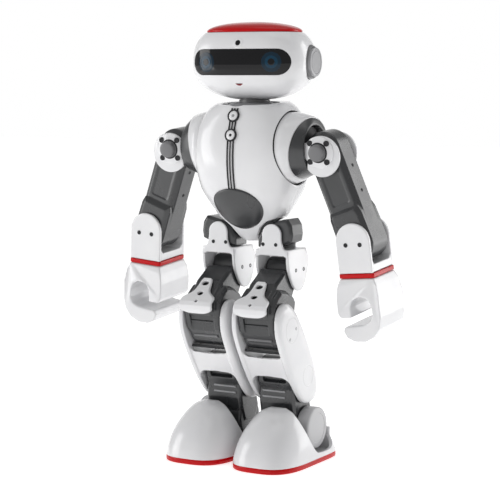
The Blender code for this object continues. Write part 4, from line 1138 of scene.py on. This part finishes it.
def area_light(name, place, target, size, power, roll=0.0):
    data = bpy.data.lights.new(name, "AREA")
    data.shape = "RECTANGLE"
    data.size, data.size_y = size
    data.energy = power
    made = bpy.data.objects.new(name, data)
    made.location = place
    aim = Vector(target) - Vector(place)
    turn = aim.to_track_quat("-Z", "Y").to_matrix() @ Matrix.Rotation(math.radians(roll), 3, "Z")
    made.rotation_euler = turn.to_euler()
    bpy.context.scene.collection.objects.link(made)


def build_studio():
    scene = bpy.context.scene
    scene.view_settings.view_transform = "Standard"
    world = bpy.data.worlds.new("studio")
    world.use_nodes = True
    tree = world.node_tree
    backdrop = tree.nodes["Background"]
    backdrop.inputs["Color"].default_value = (1.0, 1.0, 1.0, 1.0)
    place = tree.nodes.new("ShaderNodeTexCoord")
    across = tree.nodes.new("ShaderNodeVectorMath")
    across.operation = "DOT_PRODUCT"
    across.inputs[1].default_value = BACKWARD
    link(tree, place, "Generated", across, 0)
    fade = tree.nodes.new("ShaderNodeMapRange")
    fade.interpolation_type = "SMOOTHSTEP"
    fill(fade, {"From Min": FADE[0], "From Max": FADE[1], "To Min": FRONT_LIGHT, "To Max": BACK_LIGHT})
    link(tree, across, "Value", fade, "Value")
    link(tree, fade, "Result", backdrop, "Strength")
    scene.world = world

    half = FLOOR_HALF
    mesh = bpy.data.meshes.new("floor")
    corners = [(-half, -half, 0.0), (half, -half, 0.0), (half, half, 0.0), (-half, half, 0.0)]
    mesh.from_pydata(corners, [], [(0, 1, 2, 3)])
    paint = bpy.data.materials.new("floor_paint")
    paint.use_nodes = True
    shader = paint.node_tree.nodes["Principled BSDF"]
    fill(shader, {
        "Base Color": (FLOOR_GREY, FLOOR_GREY, FLOOR_GREY, 1.0), "Roughness": 0.7,
        "Emission Color": (1.0, 1.0, 1.0, 1.0), "Emission Strength": FLOOR_GLOW,
    })
    mesh.materials.append(paint)
    floor = bpy.data.objects.new("floor", mesh)
    scene.collection.objects.link(floor)

    area_light("key", (-1.36, -0.86, 0.45), AIM, (0.75, 1.3), 10.0, 24.0)
    area_light("right_strip", (0.78, 0.98, 0.42), AIM, (0.6, 1.2), 6.0)
    area_light("top", (0.1, 0.10, 1.5), AIM, (1.0, 1.0), 2.5)

    azimuth, elevation = math.radians(CAMERA_AZIMUTH), math.radians(CAMERA_ELEVATION)
    back = Vector((
        math.sin(azimuth) * math.cos(elevation), -math.cos(azimuth) * math.cos(elevation),
        math.sin(elevation),
    ))
    data = bpy.data.cameras.new("camera")
    data.sensor_width = 36.0
    data.lens = CAMERA_LENS
    camera = bpy.data.objects.new("camera", data)
    camera.location = CAMERA_PLACE
    camera.rotation_mode = "QUATERNION"
    camera.rotation_quaternion = (-back).to_track_quat("-Z", "Y")
    scene.collection.objects.link(camera)
    scene.camera = camera


build_torso()
build_head()
build_shoulder()
build_arm()
build_hip()
build_thigh()
build_shin()
build_ankle()
build_foot()
dress_inner_nodes()
build_studio()
